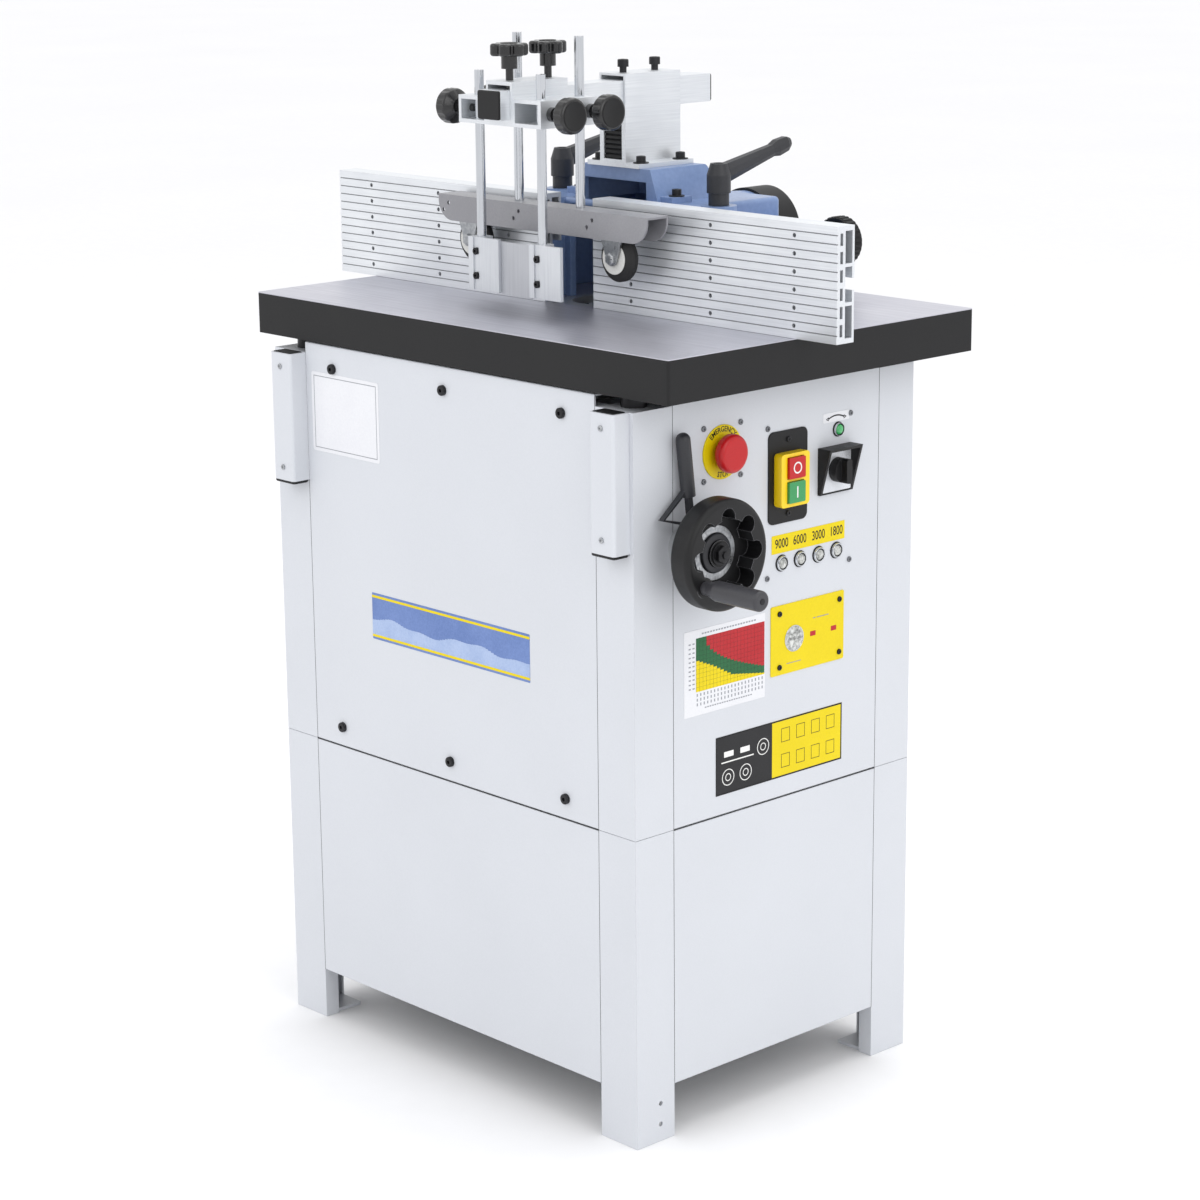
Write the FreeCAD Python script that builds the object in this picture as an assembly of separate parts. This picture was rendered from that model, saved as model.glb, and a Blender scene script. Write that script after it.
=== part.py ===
import FreeCAD, Part
import math
import os

from FreeCAD import Vector

# Spindle moulder with ribbed fence and pressure guard.
# Origin on the floor, in the middle of the four floor bolts.
# +X points to the control side, +Y to the back, +Z up. Millimetres.

# General
overrun = 1.0               # every cut runs this far past the face
seat_gap = 0.3              # room between pieces that move apart
fit_gap = 0.05              # radial clearance of a running fit
panel_gap = 0.5             # sheet edge to the post beside it

# Stand and cabinet
cabinet_width = 572.0
cabinet_depth = 414.0
seam_height = 336.0         # stand below, cabinet above
post_leg = 54.0             # width of a folded corner post on each face
post_return = 18.0
post_wall = 2.5
end_plate = 4.0             # plate welded into each post end
floor_bolt_r = 5.5
floor_bolt_inset = 30.0
leg_hole_r = 2.6
leg_hole_inset = 34.0
leg_hole_heights = (19.0, 42.0)
panel_sheet = 2.0
panel_flange = 12.0
panel_bottom = 58.0
frame_rail = 30.0           # height of the rails between the posts
cover_clear = 2.0           # panel top to the table's underside
bend_r = 1.6                # outside radius of a folded sheet edge
bracket_width = 35.0
bracket_depth = 22.0
bracket_height = 142.0
bracket_wall = 3.0
bracket_corner_r = 4.0
bracket_left_inset = 19.5   # bracket's outer side from the cabinet's side
bracket_right_inset = 5.0

# Table
table_height = 835.0
table_length = 650.0
table_front_lap = 3.0       # table past the cabinet's front and back
table_back_lap = 33.0
table_edge = 45.0
table_plate = 14.0
table_rim = 12.0
table_corner_r = 3.0
table_x = 14.0              # table's middle from the cabinet's
rib_width = 10.0
rib_drop = 24.0
rib_spread_x = 175.0
rib_clear = 2.5             # front rib to the lift bracket
rib_back_inset = 40.0
spacer_height = 14.0
spacer_r = 13.0
boss_r = 17.0
ring_outer_r = 46.0
ring_inner_r = 33.0
ring_thickness = 8.0
ring_ledge = 4.0
slot_width = 15.0
slot_length = 100.0

# Spindle and drive
spindle_x = 11.0
spindle_y = 12.0
spindle_drop = 4.0          # arbor end below the table at rest
arbor_r = 15.0
arbor_length = 100.0
shoulder_r = 26.0
shoulder_height = 8.0
journal_r = 17.5
pulley_bore_r = 14.0
bearing_outer_r = 36.0
bearing_height = 20.0
housing_outer_r = 44.0
housing_inner_r = 28.0
housing_height = 140.0
housing_neck = 23.0         # housing top to the spindle shoulder
bearing_margin = 10.0       # housing end to the bearing
spacer_ring_r = 21.0
spacer_ring_shares = (0.3, 0.4, 0.3)
nut_r = 20.0
nut_height = 22.0
nut_drop = 3.0              # nut top below the arbor end
pulley_sum = 92.0           # sum of the two pulley radii on every step
step_height = 16.0
spindle_step_shares = (0.235, 0.32, 0.485, 0.61)
belt_step = 1               # which step the belt runs on
belt_width = 12.0
belt_thickness = 7.0
motor_offset_x = -175.0
motor_offset_y = 60.0
motor_r = 66.0
motor_height = 128.0
motor_wall = 5.0
motor_rib = 4.0
motor_rib_count = 18
motor_shaft_r = 12.0
rotor_r = 40.0
rotor_margin = 16.0
plate_thickness = 12.0
plate_rim = 10.0            # motor plate past the motor and the housing
pulley_drop = 5.0           # motor plate to the first pulley step
guide_r = 12.0
guide_spread = 75.0
guide_boss_r = 21.0
guide_boss_height = 110.0
guide_boss_lift = 15.0
guide_web = 18.0
guide_tail = 12.0           # column end below its boss at rest

# Height control
wheel_inset = 72.5          # wheel axis from the cabinet's front
wheel_drop = 157.0          # wheel axis below the panel's top
wheel_r = 57.0
wheel_depth = 27.0
wheel_stand_off = 33.0      # panel to the back of the wheel
wheel_edge_r = 6.0
wheel_pocket_depth = 20.0
wheel_pocket_r = 37.0
wheel_lobe_r = 9.5
wheel_lobe_circle = 38.5
wheel_lobe_count = 8
wheel_hub_r = 14.0
wheel_hub_height = 8.0
wheel_shaft_r = 9.0
bush_r = 16.0
bush_flange_r = 25.0
bush_flange = 6.0
bush_length = 24.0
grip_r = 10.5
grip_neck_r = 7.0
grip_length = 78.0
grip_neck = 6.0
grip_turn_y = -33.0         # grip axis from the wheel axis
grip_turn_z = -27.0
pin_r = 5.0
lift_x = 66.0
lift_screw_r = 9.0
lift_journal_r = 7.0
gear_pitch_r = 24.0
gear_face = 9.0             # how far the teeth run in towards the apex
gear_teeth = 14
tooth_height = 2.4
tooth_clear = 0.3           # tooth tip to the other gear's root
tooth_share = 0.33          # tooth width as a share of the pitch
gear_back = 6.0
lift_plate = 8.0
lift_plate_reach = 34.0
lift_plate_side = 30.0
lift_lug_rise = 24.0
nut_arm_width = 22.0
nut_arm_height = 34.0
nut_arm_top = 8.0           # arm's top below the housing top
nut_boss_r = 17.0
lever_lean = 7.0            # degrees from upright
lever_ring_r = 24.0
lever_bar = 8.0
lever_neck = 6.0
lever_length = 62.0
lever_grip_r = 7.5
lever_grip_length = 58.0
strap_sheet = 2.0
strap_width = 6.0
strap_reach = 37.0
strap_rise = 34.0
strap_low = 26.0

# Switches
estop_share = -0.401        # switch centres from the middle, as shares of half the depth
estop_drop = 68.0           # and below the panel's top
estop_head_r = 20.0
estop_stem_r = 11.0
estop_neck = 6.8
estop_head = 13.0
estop_crown = 5.0
estop_tail = 26.0
switch_share = 0.0604
switch_drop = 109.0
switch_width = 42.0
switch_height = 56.0
switch_depth = 12.0
switch_corner_r = 4.0
button_width = 24.0
button_height = 22.0
button_pitch = 25.5
button_proud = 3.0
button_floor = 2.0          # housing left under a button pocket
button_travel = 3.0
button_gap = 0.4
selector_share = 0.4034
selector_drop = 110.0
selector_side = 50.0
selector_wall = 3.0
selector_base = 4.0
selector_hood = 18.0
selector_knob_r = 13.0
selector_knob_height = 10.0
selector_wing = 8.0
selector_wing_width = 8.0
selector_stem_r = 4.0

# Fence
fence_length = 349.0
fence_height = 116.0
fence_slab = 12.0
fence_depth = 25.0
fence_wall = 3.0
fence_hole_pitch = 18.0
fence_hole_rows = 6
fence_hole_r = 2.3
fence_column_pitch = 117.0
fence_columns = 3
groove_width = 1.1
groove_depth = 1.2
channel_depth = 4.0         # small hollow behind each hole row
channel_height = 12.0
channel_cover = 4.5
chamber_height = 32.0
chamber_edge = 5.0
slot_mouth = 12.0
slot_cavity = 35.0
left_fence_front = -42.0
right_fence_front = -35.4
left_fence_end = -22.0      # end beside the gap
right_fence_end = 47.5
hood_half_width = 113.0
hood_front = 6.0
hood_back = 171.0
hood_deck = 107.0
hood_wall = 8.0
hood_roof = 6.0
hood_edge_r = 5.0
hood_pad_width = 60.0
hood_mouth_left = 44.0      # front opening, from the spindle axis
hood_mouth_right = 50.0
cap_base_half = 66.0        # raised cap of the hood, at the deck
cap_top_half = 54.0
cap_top = 142.0
cap_front = 32.0
cap_base_back = 134.0
cap_top_back = 116.0
cap_wall = 6.0
cap_mouth_half = 48.0
cap_lip = 14.0
cap_ear_width = 16.0
cap_ear_length = 30.0
cap_ear_height = 7.0
cap_ear_y = 52.0
port_r = 50.0
port_wall = 4.0
port_z = 52.0               # port axis above the table
port_length = 37.0
chute_length = 62.0
chute_root_r = 50.0
chute_end_r = 47.0
boss_spread = 122.0
lever_boss_r = 19.0
lever_y = 67.0
stud_r = 6.0
stud_nut = 24.0
stud_nut_height = 10.0
hub_low_r = 11.0
hub_r = 12.8
hub_top_r = 9.0
hub_low = 13.0
hub_body = 19.0
hub_cone = 12.0
hub_recess_r = 5.5          # open top of the hub, for its screw
hub_recess = 9.0
lever_arm = 107.0
lever_arm_width = 15.0
lever_arm_height = 21.0
lever_arm_start = 31.0
lever_arm_end = 58.5
lever_section_shares = (    # place along the arm, width and height
    (0.0, 1.0, 1.0), (0.74, 0.76, 0.6), (0.82, 0.84, 0.84), (0.95, 0.8, 0.74), (1.0, 0.56, 0.42),
)
lever_bevel_share = 0.3     # corner bevel of the arm's section
rail_head = 28.0
rail_head_thickness = 6.0
rail_length = 46.0
carrier_thickness = 12.0
carrier_reach = 62.0        # carrier plate past the guide bar, towards the gap
carrier_side = 22.0
carrier_height = 80.0
infeed_x = 174.0
infeed_z = 59.0
infeed_bar_r = 12.0
infeed_bar_end = 150.0
infeed_bore_depth = 62.0
guide_block_half = 22.0
guide_block_front = 60.0
guide_block_back = 196.0
guide_end_wall = 8.0
infeed_screw_r = 5.0
infeed_screw_length = 92.0
infeed_knob_r = 27.0
infeed_knob_height = 16.0
infeed_knob_neck = 7.0
infeed_knob_neck_r = 12.0
knurl_count = 30
knurl_r = 1.6

# Guard
post_half = 20.0
post_front = 29.0
post_back = 111.0
post_top = 241.0            # above the table
post_flange_half = 40.0
post_flange = 5.0
post_wall_side = 6.0
post_room_top = 196.0
insert_depth = 16.0         # ribbed block in the post's lower room
insert_set_back = 1.5
insert_rib = 1.4
insert_rib_count = 9
arm_width = 34.0
arm_height = 30.0
arm_wall = 2.5
arm_front = -145.0
arm_back = 160.0
arm_z = 219.0
arm_fit = 0.15
clamp_slit = 4.5            # free height above the arm in its tunnel
carriage_front = -132.0
carriage_back = -54.0
carriage_half = 64.0
carriage_low = 197.0
carriage_side_top = 225.5
carriage_top = 242.5
carriage_wall = 4.0
rod_r = 5.0
rod_spread = 48.0
front_rod_y = -117.0
rear_rod_y = -63.3
front_rod_top = 251.0
rear_rod_top = 287.0
front_rod_low = 30.0
shoe_low = 21.0
shoe_top = 77.0
shoe_face = 9.0             # rod axis to the front face
shoe_left = 12.0
shoe_right = 7.0
shoe_wing = 29.0
shoe_wing_sheet = 4.0
shoe_groove = 9.0
shoe_groove_depth = 1.6
shield_sheet = 2.0
shield_lap = 8.0
shield_drop = 2.0
channel_length = 326.0
channel_width = 31.0
channel_top = 110.0
channel_tall = 28.0
channel_sheet = 2.5
channel_end_r = 22.0
channel_hole_r = 2.2
channel_hole_shares = (-0.45, -0.1, 0.25)
channel_hole_step = 8.0
channel_hole_drop = 9.0
roller_r = 25.0
roller_hub_r = 17.0
roller_width = 17.0
roller_z = 63.0
roller_left = 118.0         # roller axes from the spindle axis
roller_right = 107.0
roller_pin_r = 4.0
roller_edge_r = 3.0
fork_sheet = 2.5
fork_width = 30.0
fork_gap = 1.5
fork_foot_r = 7.5
knob_r = 18.7
knob_disc = 13.0
knob_edge_r = 3.5
knob_neck_r = 8.5
knob_neck = 16.0
knob_free = 6.0             # collar between carriage and neck
knob_collar_r = 7.5
knob_waist_r = 5.5          # side knob's neck behind its cone
knob_cone = 6.0
knob_flute_r = 9.0
knob_flute_depth = 0.7
knob_flute_count = 12
knob_stud_r = 4.0
lobe_count = 6
lobe_r = 6.5
lobe_circle = 13.5
lobe_core_r = 14.5
lobe_edge_r = 3.0
top_knob_free = 12.0
top_knob_neck = 13.0

# Places worked out from the sizes above
half_width = cabinet_width / 2
half_depth = cabinet_depth / 2
table_under = table_height - table_edge
plate_under = table_height - table_plate
cabinet_top = table_under - spacer_height
panel_top = table_under - cover_clear
bolt_x = half_width - floor_bolt_inset
bolt_y = half_depth - floor_bolt_inset
arbor_top = table_height - spindle_drop
shoulder_top = arbor_top - arbor_length
housing_top = shoulder_top - shoulder_height - housing_neck
housing_low = housing_top - housing_height
plate_low = housing_low - plate_thickness
pulley_top = plate_low - pulley_drop
pulley_low = pulley_top - step_height * len(spindle_step_shares)
motor_x = spindle_x + motor_offset_x
motor_y = spindle_y + motor_offset_y
guide_places = [Vector(spindle_x, spindle_y + side * guide_spread, 0) for side in (-1, 1)]
wheel_y = wheel_inset - half_depth
wheel_z = panel_top - wheel_drop
estop_y = estop_share * half_depth
switch_y = switch_share * half_depth
selector_y = selector_share * half_depth
estop_z = panel_top - estop_drop
switch_z = panel_top - switch_drop
selector_z = panel_top - selector_drop
gear_apex = Vector(lift_x, wheel_y, wheel_z)
wheel_back = half_width + wheel_stand_off
fence_low = table_height + seat_gap
left_fence_back = left_fence_front + fence_depth
right_fence_back = right_fence_front + fence_depth
fence_mid = fence_low + fence_height / 2
deck_z = table_height + hood_deck
carrier_front = right_fence_back + seat_gap
carrier_back = carrier_front + carrier_thickness
chute_end = hood_back + chute_length
arm_mid = table_height + arm_z
rod_places = [spindle_x - rod_spread, spindle_x + rod_spread]
channel_low = table_height + channel_top - channel_tall
up = Vector(0, 0, 1)
right = Vector(1, 0, 0)
back = Vector(0, 1, 0)


def box(x, y, z):
    """Block between three (low, high) pairs."""
    return Part.makeBox(x[1] - x[0], y[1] - y[0], z[1] - z[0], Vector(x[0], y[0], z[0]))


def around(middle, width):
    """The (low, high) pair of a width about its middle."""
    return (middle - width / 2, middle + width / 2)


def rod(radius, start, end):
    """Round bar from one point to another."""
    run = end - start
    return Part.makeCylinder(radius, run.Length, start, run)


def along(start, direction, distance):
    """Point at a distance from a start."""
    return start + direction * distance


def bore(radius, start, end):
    """Round cutter that runs past both of its ends."""
    step = (end - start).normalize() * overrun
    return rod(radius, start - step, end + step)


def tube(outer, inner, start, end):
    """Hollow round bar."""
    return rod(outer, start, end).cut(bore(inner, start, end))


def prism(points, run):
    """Closed outline of points carried along a run."""
    solid = Part.Face(Part.makePolygon(points + points[:1])).extrude(run)
    if solid.Volume < 0:
        solid.reverse()
    return solid


def prism_x(outline, x):
    """Outline of (y, z) points between two x places."""
    return prism([Vector(x[0], y, z) for y, z in outline], right * (x[1] - x[0]))


def prism_y(outline, y):
    """Outline of (x, z) points between two y places."""
    return prism([Vector(x, y[0], z) for x, z in outline], back * (y[1] - y[0]))


def prism_z(outline, z):
    """Outline of (x, y) points between two heights."""
    return prism([Vector(x, y, z[0]) for x, y in outline], up * (z[1] - z[0]))


def turned(profile, place, axis):
    """Profile of (radius, height) points turned about an axis."""
    points = [Vector(r, 0, h) for r, h in profile]
    face = Part.Face(Part.makePolygon(points + points[:1]))
    solid = face.revolve(Vector(), up, 360)
    if solid.Volume < 0:
        solid.reverse()
    solid.Placement = FreeCAD.Placement(place, FreeCAD.Rotation(up, axis))
    return solid


def softened(shape, radius, direction, test=None):
    """Shape with its straight edges along a direction rounded."""
    edges = []
    for edge in shape.Edges:
        if not isinstance(edge.Curve, Part.Line):
            continue
        if abs(edge.tangentAt(edge.FirstParameter).dot(direction)) < 0.999:
            continue
        if test is None or test(edge.CenterOfMass):
            edges.append(edge)
    return shape.makeFillet(radius, edges)


def two_circle_band(first, first_r, second, second_r, z):
    """Solid between two heights whose outline wraps two circles."""
    span = second - first
    turn = math.atan2(span.y, span.x)
    open_angle = math.acos((first_r - second_r) / span.Length)
    low = Vector(0, 0, z[0])

    def on(centre, radius, angle):
        return centre + low + Vector(math.cos(angle), math.sin(angle), 0) * radius

    a = on(first, first_r, turn + open_angle)
    b = on(first, first_r, turn + math.pi)
    c = on(first, first_r, turn - open_angle)
    d = on(second, second_r, turn - open_angle)
    e = on(second, second_r, turn)
    f = on(second, second_r, turn + open_angle)
    wire = Part.Wire([
        Part.Arc(a, b, c).toShape(),
        Part.LineSegment(c, d).toShape(),
        Part.Arc(d, e, f).toShape(),
        Part.LineSegment(f, a).toShape(),
    ])
    solid = Part.Face(wire).extrude(up * (z[1] - z[0]))
    if solid.Volume < 0:
        solid.reverse()
    return solid


def fused(shapes):
    """One clean solid from overlapping shapes."""
    return shapes[0].multiFuse(shapes[1:]).removeSplitter()


def rim_rounded(shape, rim_r, radius):
    """Shape with its round edges of one size rounded over."""
    circles = [edge for edge in shape.Edges if isinstance(edge.Curve, Part.Circle)]
    rims = [edge for edge in circles if abs(edge.Curve.Radius - rim_r) < fit_gap]
    return shape.makeFillet(radius, rims)


def corner_post(side_x, side_y, z):
    """Folded post of one cabinet corner, open to the inside."""
    corner_x = side_x * half_width
    corner_y = side_y * half_depth
    inner = post_leg - post_wall
    outline = [
        (0, 0), (post_leg, 0), (post_leg, post_return), (inner, post_return),
        (inner, post_wall), (post_wall, post_wall), (post_wall, inner),
        (post_return, inner), (post_return, post_leg), (0, post_leg),
    ]
    points = [(corner_x - side_x * u, corner_y - side_y * v) for u, v in outline]
    return prism_z(points, z)


def post_end(side_x, side_y, z):
    """Plate welded into a post end."""
    inner = post_leg - post_wall
    x = sorted((side_x * (half_width - post_wall), side_x * (half_width - inner)))
    y = sorted((side_y * (half_depth - post_wall), side_y * (half_depth - inner)))
    return box(x, y, z)


def corners():
    """Signs of the four cabinet corners."""
    return [(side_x, side_y) for side_x in (-1, 1) for side_y in (-1, 1)]


def stand_legs():
    """Four legs with foot plates and floor bolt holes."""
    legs = []
    for side_x, side_y in corners():
        leg = fused([
            corner_post(side_x, side_y, (0, seam_height)),
            post_end(side_x, side_y, (0, end_plate)),
        ])
        place = Vector(side_x * bolt_x, side_y * bolt_y, 0)
        leg = leg.cut(bore(floor_bolt_r, place, along(place, up, end_plate)))
        if side_x > 0 and side_y < 0:
            for height in leg_hole_heights:
                spot = Vector(half_width - post_wall, leg_hole_inset - half_depth, height)
                leg = leg.cut(bore(leg_hole_r, spot, along(spot, right, post_wall)))
        legs.append(leg)
    return Part.makeCompound(legs)


def sheet_panel(z):
    """Section of a panel as (depth, height) points, folded in at both ends."""
    low, high = z
    inner = panel_sheet
    return [
        (0, low), (0, high), (panel_flange, high), (panel_flange, high - inner),
        (inner, high - inner), (inner, low + inner), (panel_flange, low + inner),
        (panel_flange, low),
    ]


def side_panel(side_x, z):
    """Panel between two posts on the left or right side."""
    reach = half_depth - post_leg - panel_gap
    outline = [(side_x * (half_width - depth), height) for depth, height in sheet_panel(z)]
    panel = prism_y(outline, (-reach, reach))
    return softened(panel, bend_r, back, lambda p: abs(p.x) > half_width - panel_gap)


def end_panel(side_y, z):
    """Panel between two posts on the front or back."""
    reach = half_width - post_leg - panel_gap
    outline = [(side_y * (half_depth - depth), height) for depth, height in sheet_panel(z)]
    panel = prism_x(outline, (-reach, reach))
    return softened(panel, bend_r, right, lambda p: abs(p.y) > half_depth - panel_gap)


def stand_panels():
    """Four panels of the stand."""
    z = (panel_bottom, seam_height - panel_gap)
    return Part.makeCompound([end_panel(-1, z), side_panel(1, z), side_panel(-1, z), end_panel(1, z)])


def cabinet_frame():
    """Four posts joined by rails at the top and at the seam."""
    low = seam_height + panel_gap
    pieces = []
    for side_x, side_y in corners():
        pieces.append(corner_post(side_x, side_y, (low, cabinet_top)))
        pieces.append(post_end(side_x, side_y, (cabinet_top - end_plate, cabinet_top)))
    reach_x = half_width - post_leg
    reach_y = half_depth - post_leg
    deep = post_return
    shallow = post_return - post_wall
    for z in ((low, low + frame_rail), (cabinet_top - frame_rail, cabinet_top)):
        for side in (-1, 1):
            y = sorted((side * (half_depth - deep), side * (half_depth - shallow)))
            x = sorted((side * (half_width - deep), side * (half_width - shallow)))
            pieces.append(box((-reach_x, reach_x), y, z))
            pieces.append(box(x, (-reach_y, reach_y), z))
    return fused(pieces)


def upper_range():
    """Height range of the cabinet's panels."""
    return (seam_height + panel_gap, panel_top)


def front_cover():
    """Cover of the cabinet's front."""
    return end_panel(-1, upper_range())


def rear_panel():
    """Panel of the cabinet's back."""
    return end_panel(1, upper_range())


def left_panel():
    """Panel of the cabinet's left side."""
    return side_panel(-1, upper_range())


def control_panel():
    """Right panel with holes for the stop head, the selector stem and the wheel bush."""
    panel = side_panel(1, upper_range())
    holes = [
        (estop_y, estop_z, estop_stem_r + seat_gap),
        (selector_y, selector_z, selector_stem_r + seat_gap),
        (wheel_y, wheel_z, bush_r + fit_gap),
    ]
    for y, z, radius in holes:
        start = Vector(half_width - panel_sheet, y, z)
        panel = panel.cut(bore(radius, start, along(start, right, panel_sheet)))
    return panel


def front_brackets():
    """Two short tubes on the front posts."""
    low = cabinet_top - bracket_height
    front = -half_depth - bracket_depth
    tubes = []
    for start in (bracket_left_inset - half_width, half_width - bracket_right_inset - bracket_width):
        outer = box((start, start + bracket_width), (front, -half_depth), (low, cabinet_top))
        outer = softened(outer, bracket_corner_r, up, lambda p: p.y < -half_depth - bracket_wall)
        inner = box(
            (start + bracket_wall, start + bracket_width - bracket_wall),
            (front + bracket_wall, -half_depth - bracket_wall),
            (low - overrun, cabinet_top + overrun),
        )
        tubes.append(outer.cut(inner))
    return Part.makeCompound(tubes)


def table():
    """Cast table: plate, rim, ribs, spacer bosses, stepped spindle hole and two clamp slots."""
    x = around(table_x, table_length)
    y = (-half_depth - table_front_lap, half_depth + table_back_lap)
    block = box(x, y, (table_under, table_height))
    block = softened(block, table_corner_r, up)
    hollow = box(
        (x[0] + table_rim, x[1] - table_rim), (y[0] + table_rim, y[1] - table_rim),
        (table_under - overrun, plate_under),
    )
    pieces = [block.cut(hollow)]
    rib_z = (plate_under - rib_drop, plate_under)
    for side in (-1, 1):
        pieces.append(box(around(spindle_x + side * rib_spread_x, rib_width), y, rib_z))
    front_rib = wheel_y - lift_plate_reach - rib_clear - rib_width / 2
    for place in (front_rib, y[1] - rib_back_inset):
        pieces.append(box(x, around(place, rib_width), rib_z))
    for side_x, side_y in corners():
        place = Vector(side_x * (half_width - post_leg / 2), side_y * (half_depth - post_leg / 2), table_under)
        pieces.append(rod(boss_r, place, along(place, up, table_edge - table_plate)))
    cast = fused(pieces)
    axis = Vector(spindle_x, spindle_y, 0)
    top = along(axis, up, table_height)
    cast = cast.cut(bore(ring_outer_r - ring_ledge, along(axis, up, plate_under), top))
    cast = cast.cut(bore(ring_outer_r + seat_gap, along(top, up, overrun - ring_thickness), top))
    for side in (-1, 1):
        slot = box(
            around(spindle_x + side * boss_spread, slot_width), around(lever_y, slot_length),
            (plate_under - overrun, table_height + overrun),
        )
        cast = cast.cut(softened(slot, slot_width / 2 - overrun / 2, up))
    return cast


def table_spacers():
    """Four spacers between the posts and the table."""
    spacers = []
    for side_x, side_y in corners():
        place = Vector(side_x * (half_width - post_leg / 2), side_y * (half_depth - post_leg / 2), cabinet_top)
        spacers.append(rod(spacer_r, place, along(place, up, spacer_height)))
    return Part.makeCompound(spacers)


def table_ring():
    """Insert ring, flush with the table."""
    low = Vector(spindle_x, spindle_y, table_height - ring_thickness)
    return tube(ring_outer_r, ring_inner_r, low, along(low, up, ring_thickness))


def lift_bracket():
    """Bracket that hangs from the table, with the lift gear's bearings, and its two guide columns."""
    shelf_top = wheel_z - gear_pitch_r - gear_back - seat_gap
    shelf_low = shelf_top - lift_plate
    flange_low = plate_under - lift_plate
    front = wheel_y - lift_plate_reach
    lug_low = lift_x + gear_pitch_r + gear_back + seat_gap
    lug = (lug_low, lug_low + lift_plate)
    side = (lift_x - lift_plate_side, lug[1])
    flange = prism_z([
        (side[0], front), (side[1], front), (side[1], wheel_y),
        (spindle_x + guide_boss_r, spindle_y + guide_spread + guide_boss_r),
        (spindle_x - guide_boss_r, spindle_y + guide_spread + guide_boss_r),
        (spindle_x - ring_outer_r - guide_boss_r, spindle_y),
    ], (flange_low, plate_under))
    axis = Vector(spindle_x, spindle_y, flange_low)
    flange = flange.cut(bore(housing_outer_r + guide_web / 2, axis, along(axis, up, lift_plate)))
    pieces = [
        flange,
        box(side, (front, front + lift_plate), (shelf_low, plate_under)),
        box(side, (front, wheel_y + lift_lug_rise), (shelf_low, shelf_top)),
        box(lug, (front, wheel_y + lift_lug_rise), (shelf_low, wheel_z + lift_lug_rise)),
    ]
    bracket = fused(pieces)
    seat = Vector(lift_x, wheel_y, shelf_low)
    bracket = bracket.cut(bore(lift_journal_r + fit_gap, seat, along(seat, up, lift_plate)))
    head = Vector(lift_x, wheel_y, flange_low)
    bracket = bracket.cut(bore(lift_journal_r + fit_gap, head, along(head, up, lift_plate)))
    side_seat = Vector(lug[0], wheel_y, wheel_z)
    bracket = bracket.cut(bore(wheel_shaft_r + fit_gap, side_seat, along(side_seat, right, lift_plate)))
    columns = []
    for place in guide_places:
        top = along(place, up, flange_low)
        end = along(place, up, housing_low + guide_boss_lift - guide_tail)
        columns.append(rod(guide_r, end, top))
    return Part.makeCompound([bracket] + columns)


def wheel_bush():
    """Flanged bush of the handwheel shaft in the control panel."""
    inner = half_width - bush_length
    flange_end = half_width + bush_flange
    start = Vector(inner, wheel_y, wheel_z)
    flange = rod(bush_flange_r, Vector(half_width, wheel_y, wheel_z), Vector(flange_end, wheel_y, wheel_z))
    nose = rod(bush_r, start, Vector(half_width + bush_length, wheel_y, wheel_z))
    bush = fused([flange, nose])
    return bush.cut(bore(wheel_shaft_r + fit_gap, start, Vector(half_width + bush_length, wheel_y, wheel_z)))


def bearing_lows():
    """Lower faces of the two spindle bearings."""
    return (housing_low + bearing_margin, housing_top - bearing_margin - bearing_height)


def spindle_housing():
    """Housing with two guide bosses and the arm of the lift nut."""
    axis = Vector(spindle_x, spindle_y, 0)
    low = along(axis, up, housing_low)
    top = along(axis, up, housing_top)
    boss_z = (housing_low + guide_boss_lift, housing_low + guide_boss_lift + guide_boss_height)
    arm_z_range = (housing_top - nut_arm_top - nut_arm_height, housing_top - nut_arm_top)
    pieces = [rod(housing_outer_r, low, top)]
    for place in guide_places:
        pieces.append(rod(guide_boss_r, along(place, up, boss_z[0]), along(place, up, boss_z[1])))
    pieces.append(box(around(spindle_x, guide_web), around(spindle_y, guide_spread * 2), boss_z))
    nut = Vector(lift_x, wheel_y, arm_z_range[0])
    pieces.append(rod(nut_boss_r, nut, along(nut, up, nut_arm_height)))
    reach = Vector(lift_x - spindle_x, wheel_y - spindle_y, 0)
    across = Vector(-reach.y, reach.x, 0).normalize() * (nut_arm_width / 2)
    corner = [axis - across, axis - across + reach, axis + across + reach, axis + across]
    pieces.append(prism_z([(p.x, p.y) for p in corner], arm_z_range))
    solid = fused(pieces)
    solid = solid.cut(bore(housing_inner_r, low, top))
    for height in (housing_low, housing_top - bearing_margin - bearing_height):
        seat = along(axis, up, height)
        end = along(seat, up, bearing_margin + bearing_height)
        solid = solid.cut(rod(bearing_outer_r + fit_gap, seat, end))
    for place in guide_places:
        solid = solid.cut(bore(guide_r + fit_gap, along(place, up, boss_z[0]), along(place, up, housing_top)))
    return solid.cut(bore(lift_screw_r + fit_gap, nut, along(nut, up, nut_arm_height)))


def spindle_bearings():
    """Two bearings of the spindle."""
    rings = []
    for height in bearing_lows():
        low = Vector(spindle_x, spindle_y, height)
        rings.append(tube(bearing_outer_r, journal_r + fit_gap, low, along(low, up, bearing_height)))
    return Part.makeCompound(rings)


def motor_plate():
    """Plate that carries the motor beside the housing."""
    z = (plate_low, housing_low)
    first = Vector(motor_x, motor_y, 0)
    second = Vector(spindle_x, spindle_y, 0)
    plate = two_circle_band(first, motor_r + plate_rim, second, housing_outer_r + plate_rim / 2, z)
    plate = plate.cut(bore(housing_inner_r, along(second, up, z[0]), along(second, up, z[1])))
    return plate.cut(bore(motor_shaft_r + seat_gap, along(first, up, z[0]), along(first, up, z[1])))


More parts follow.
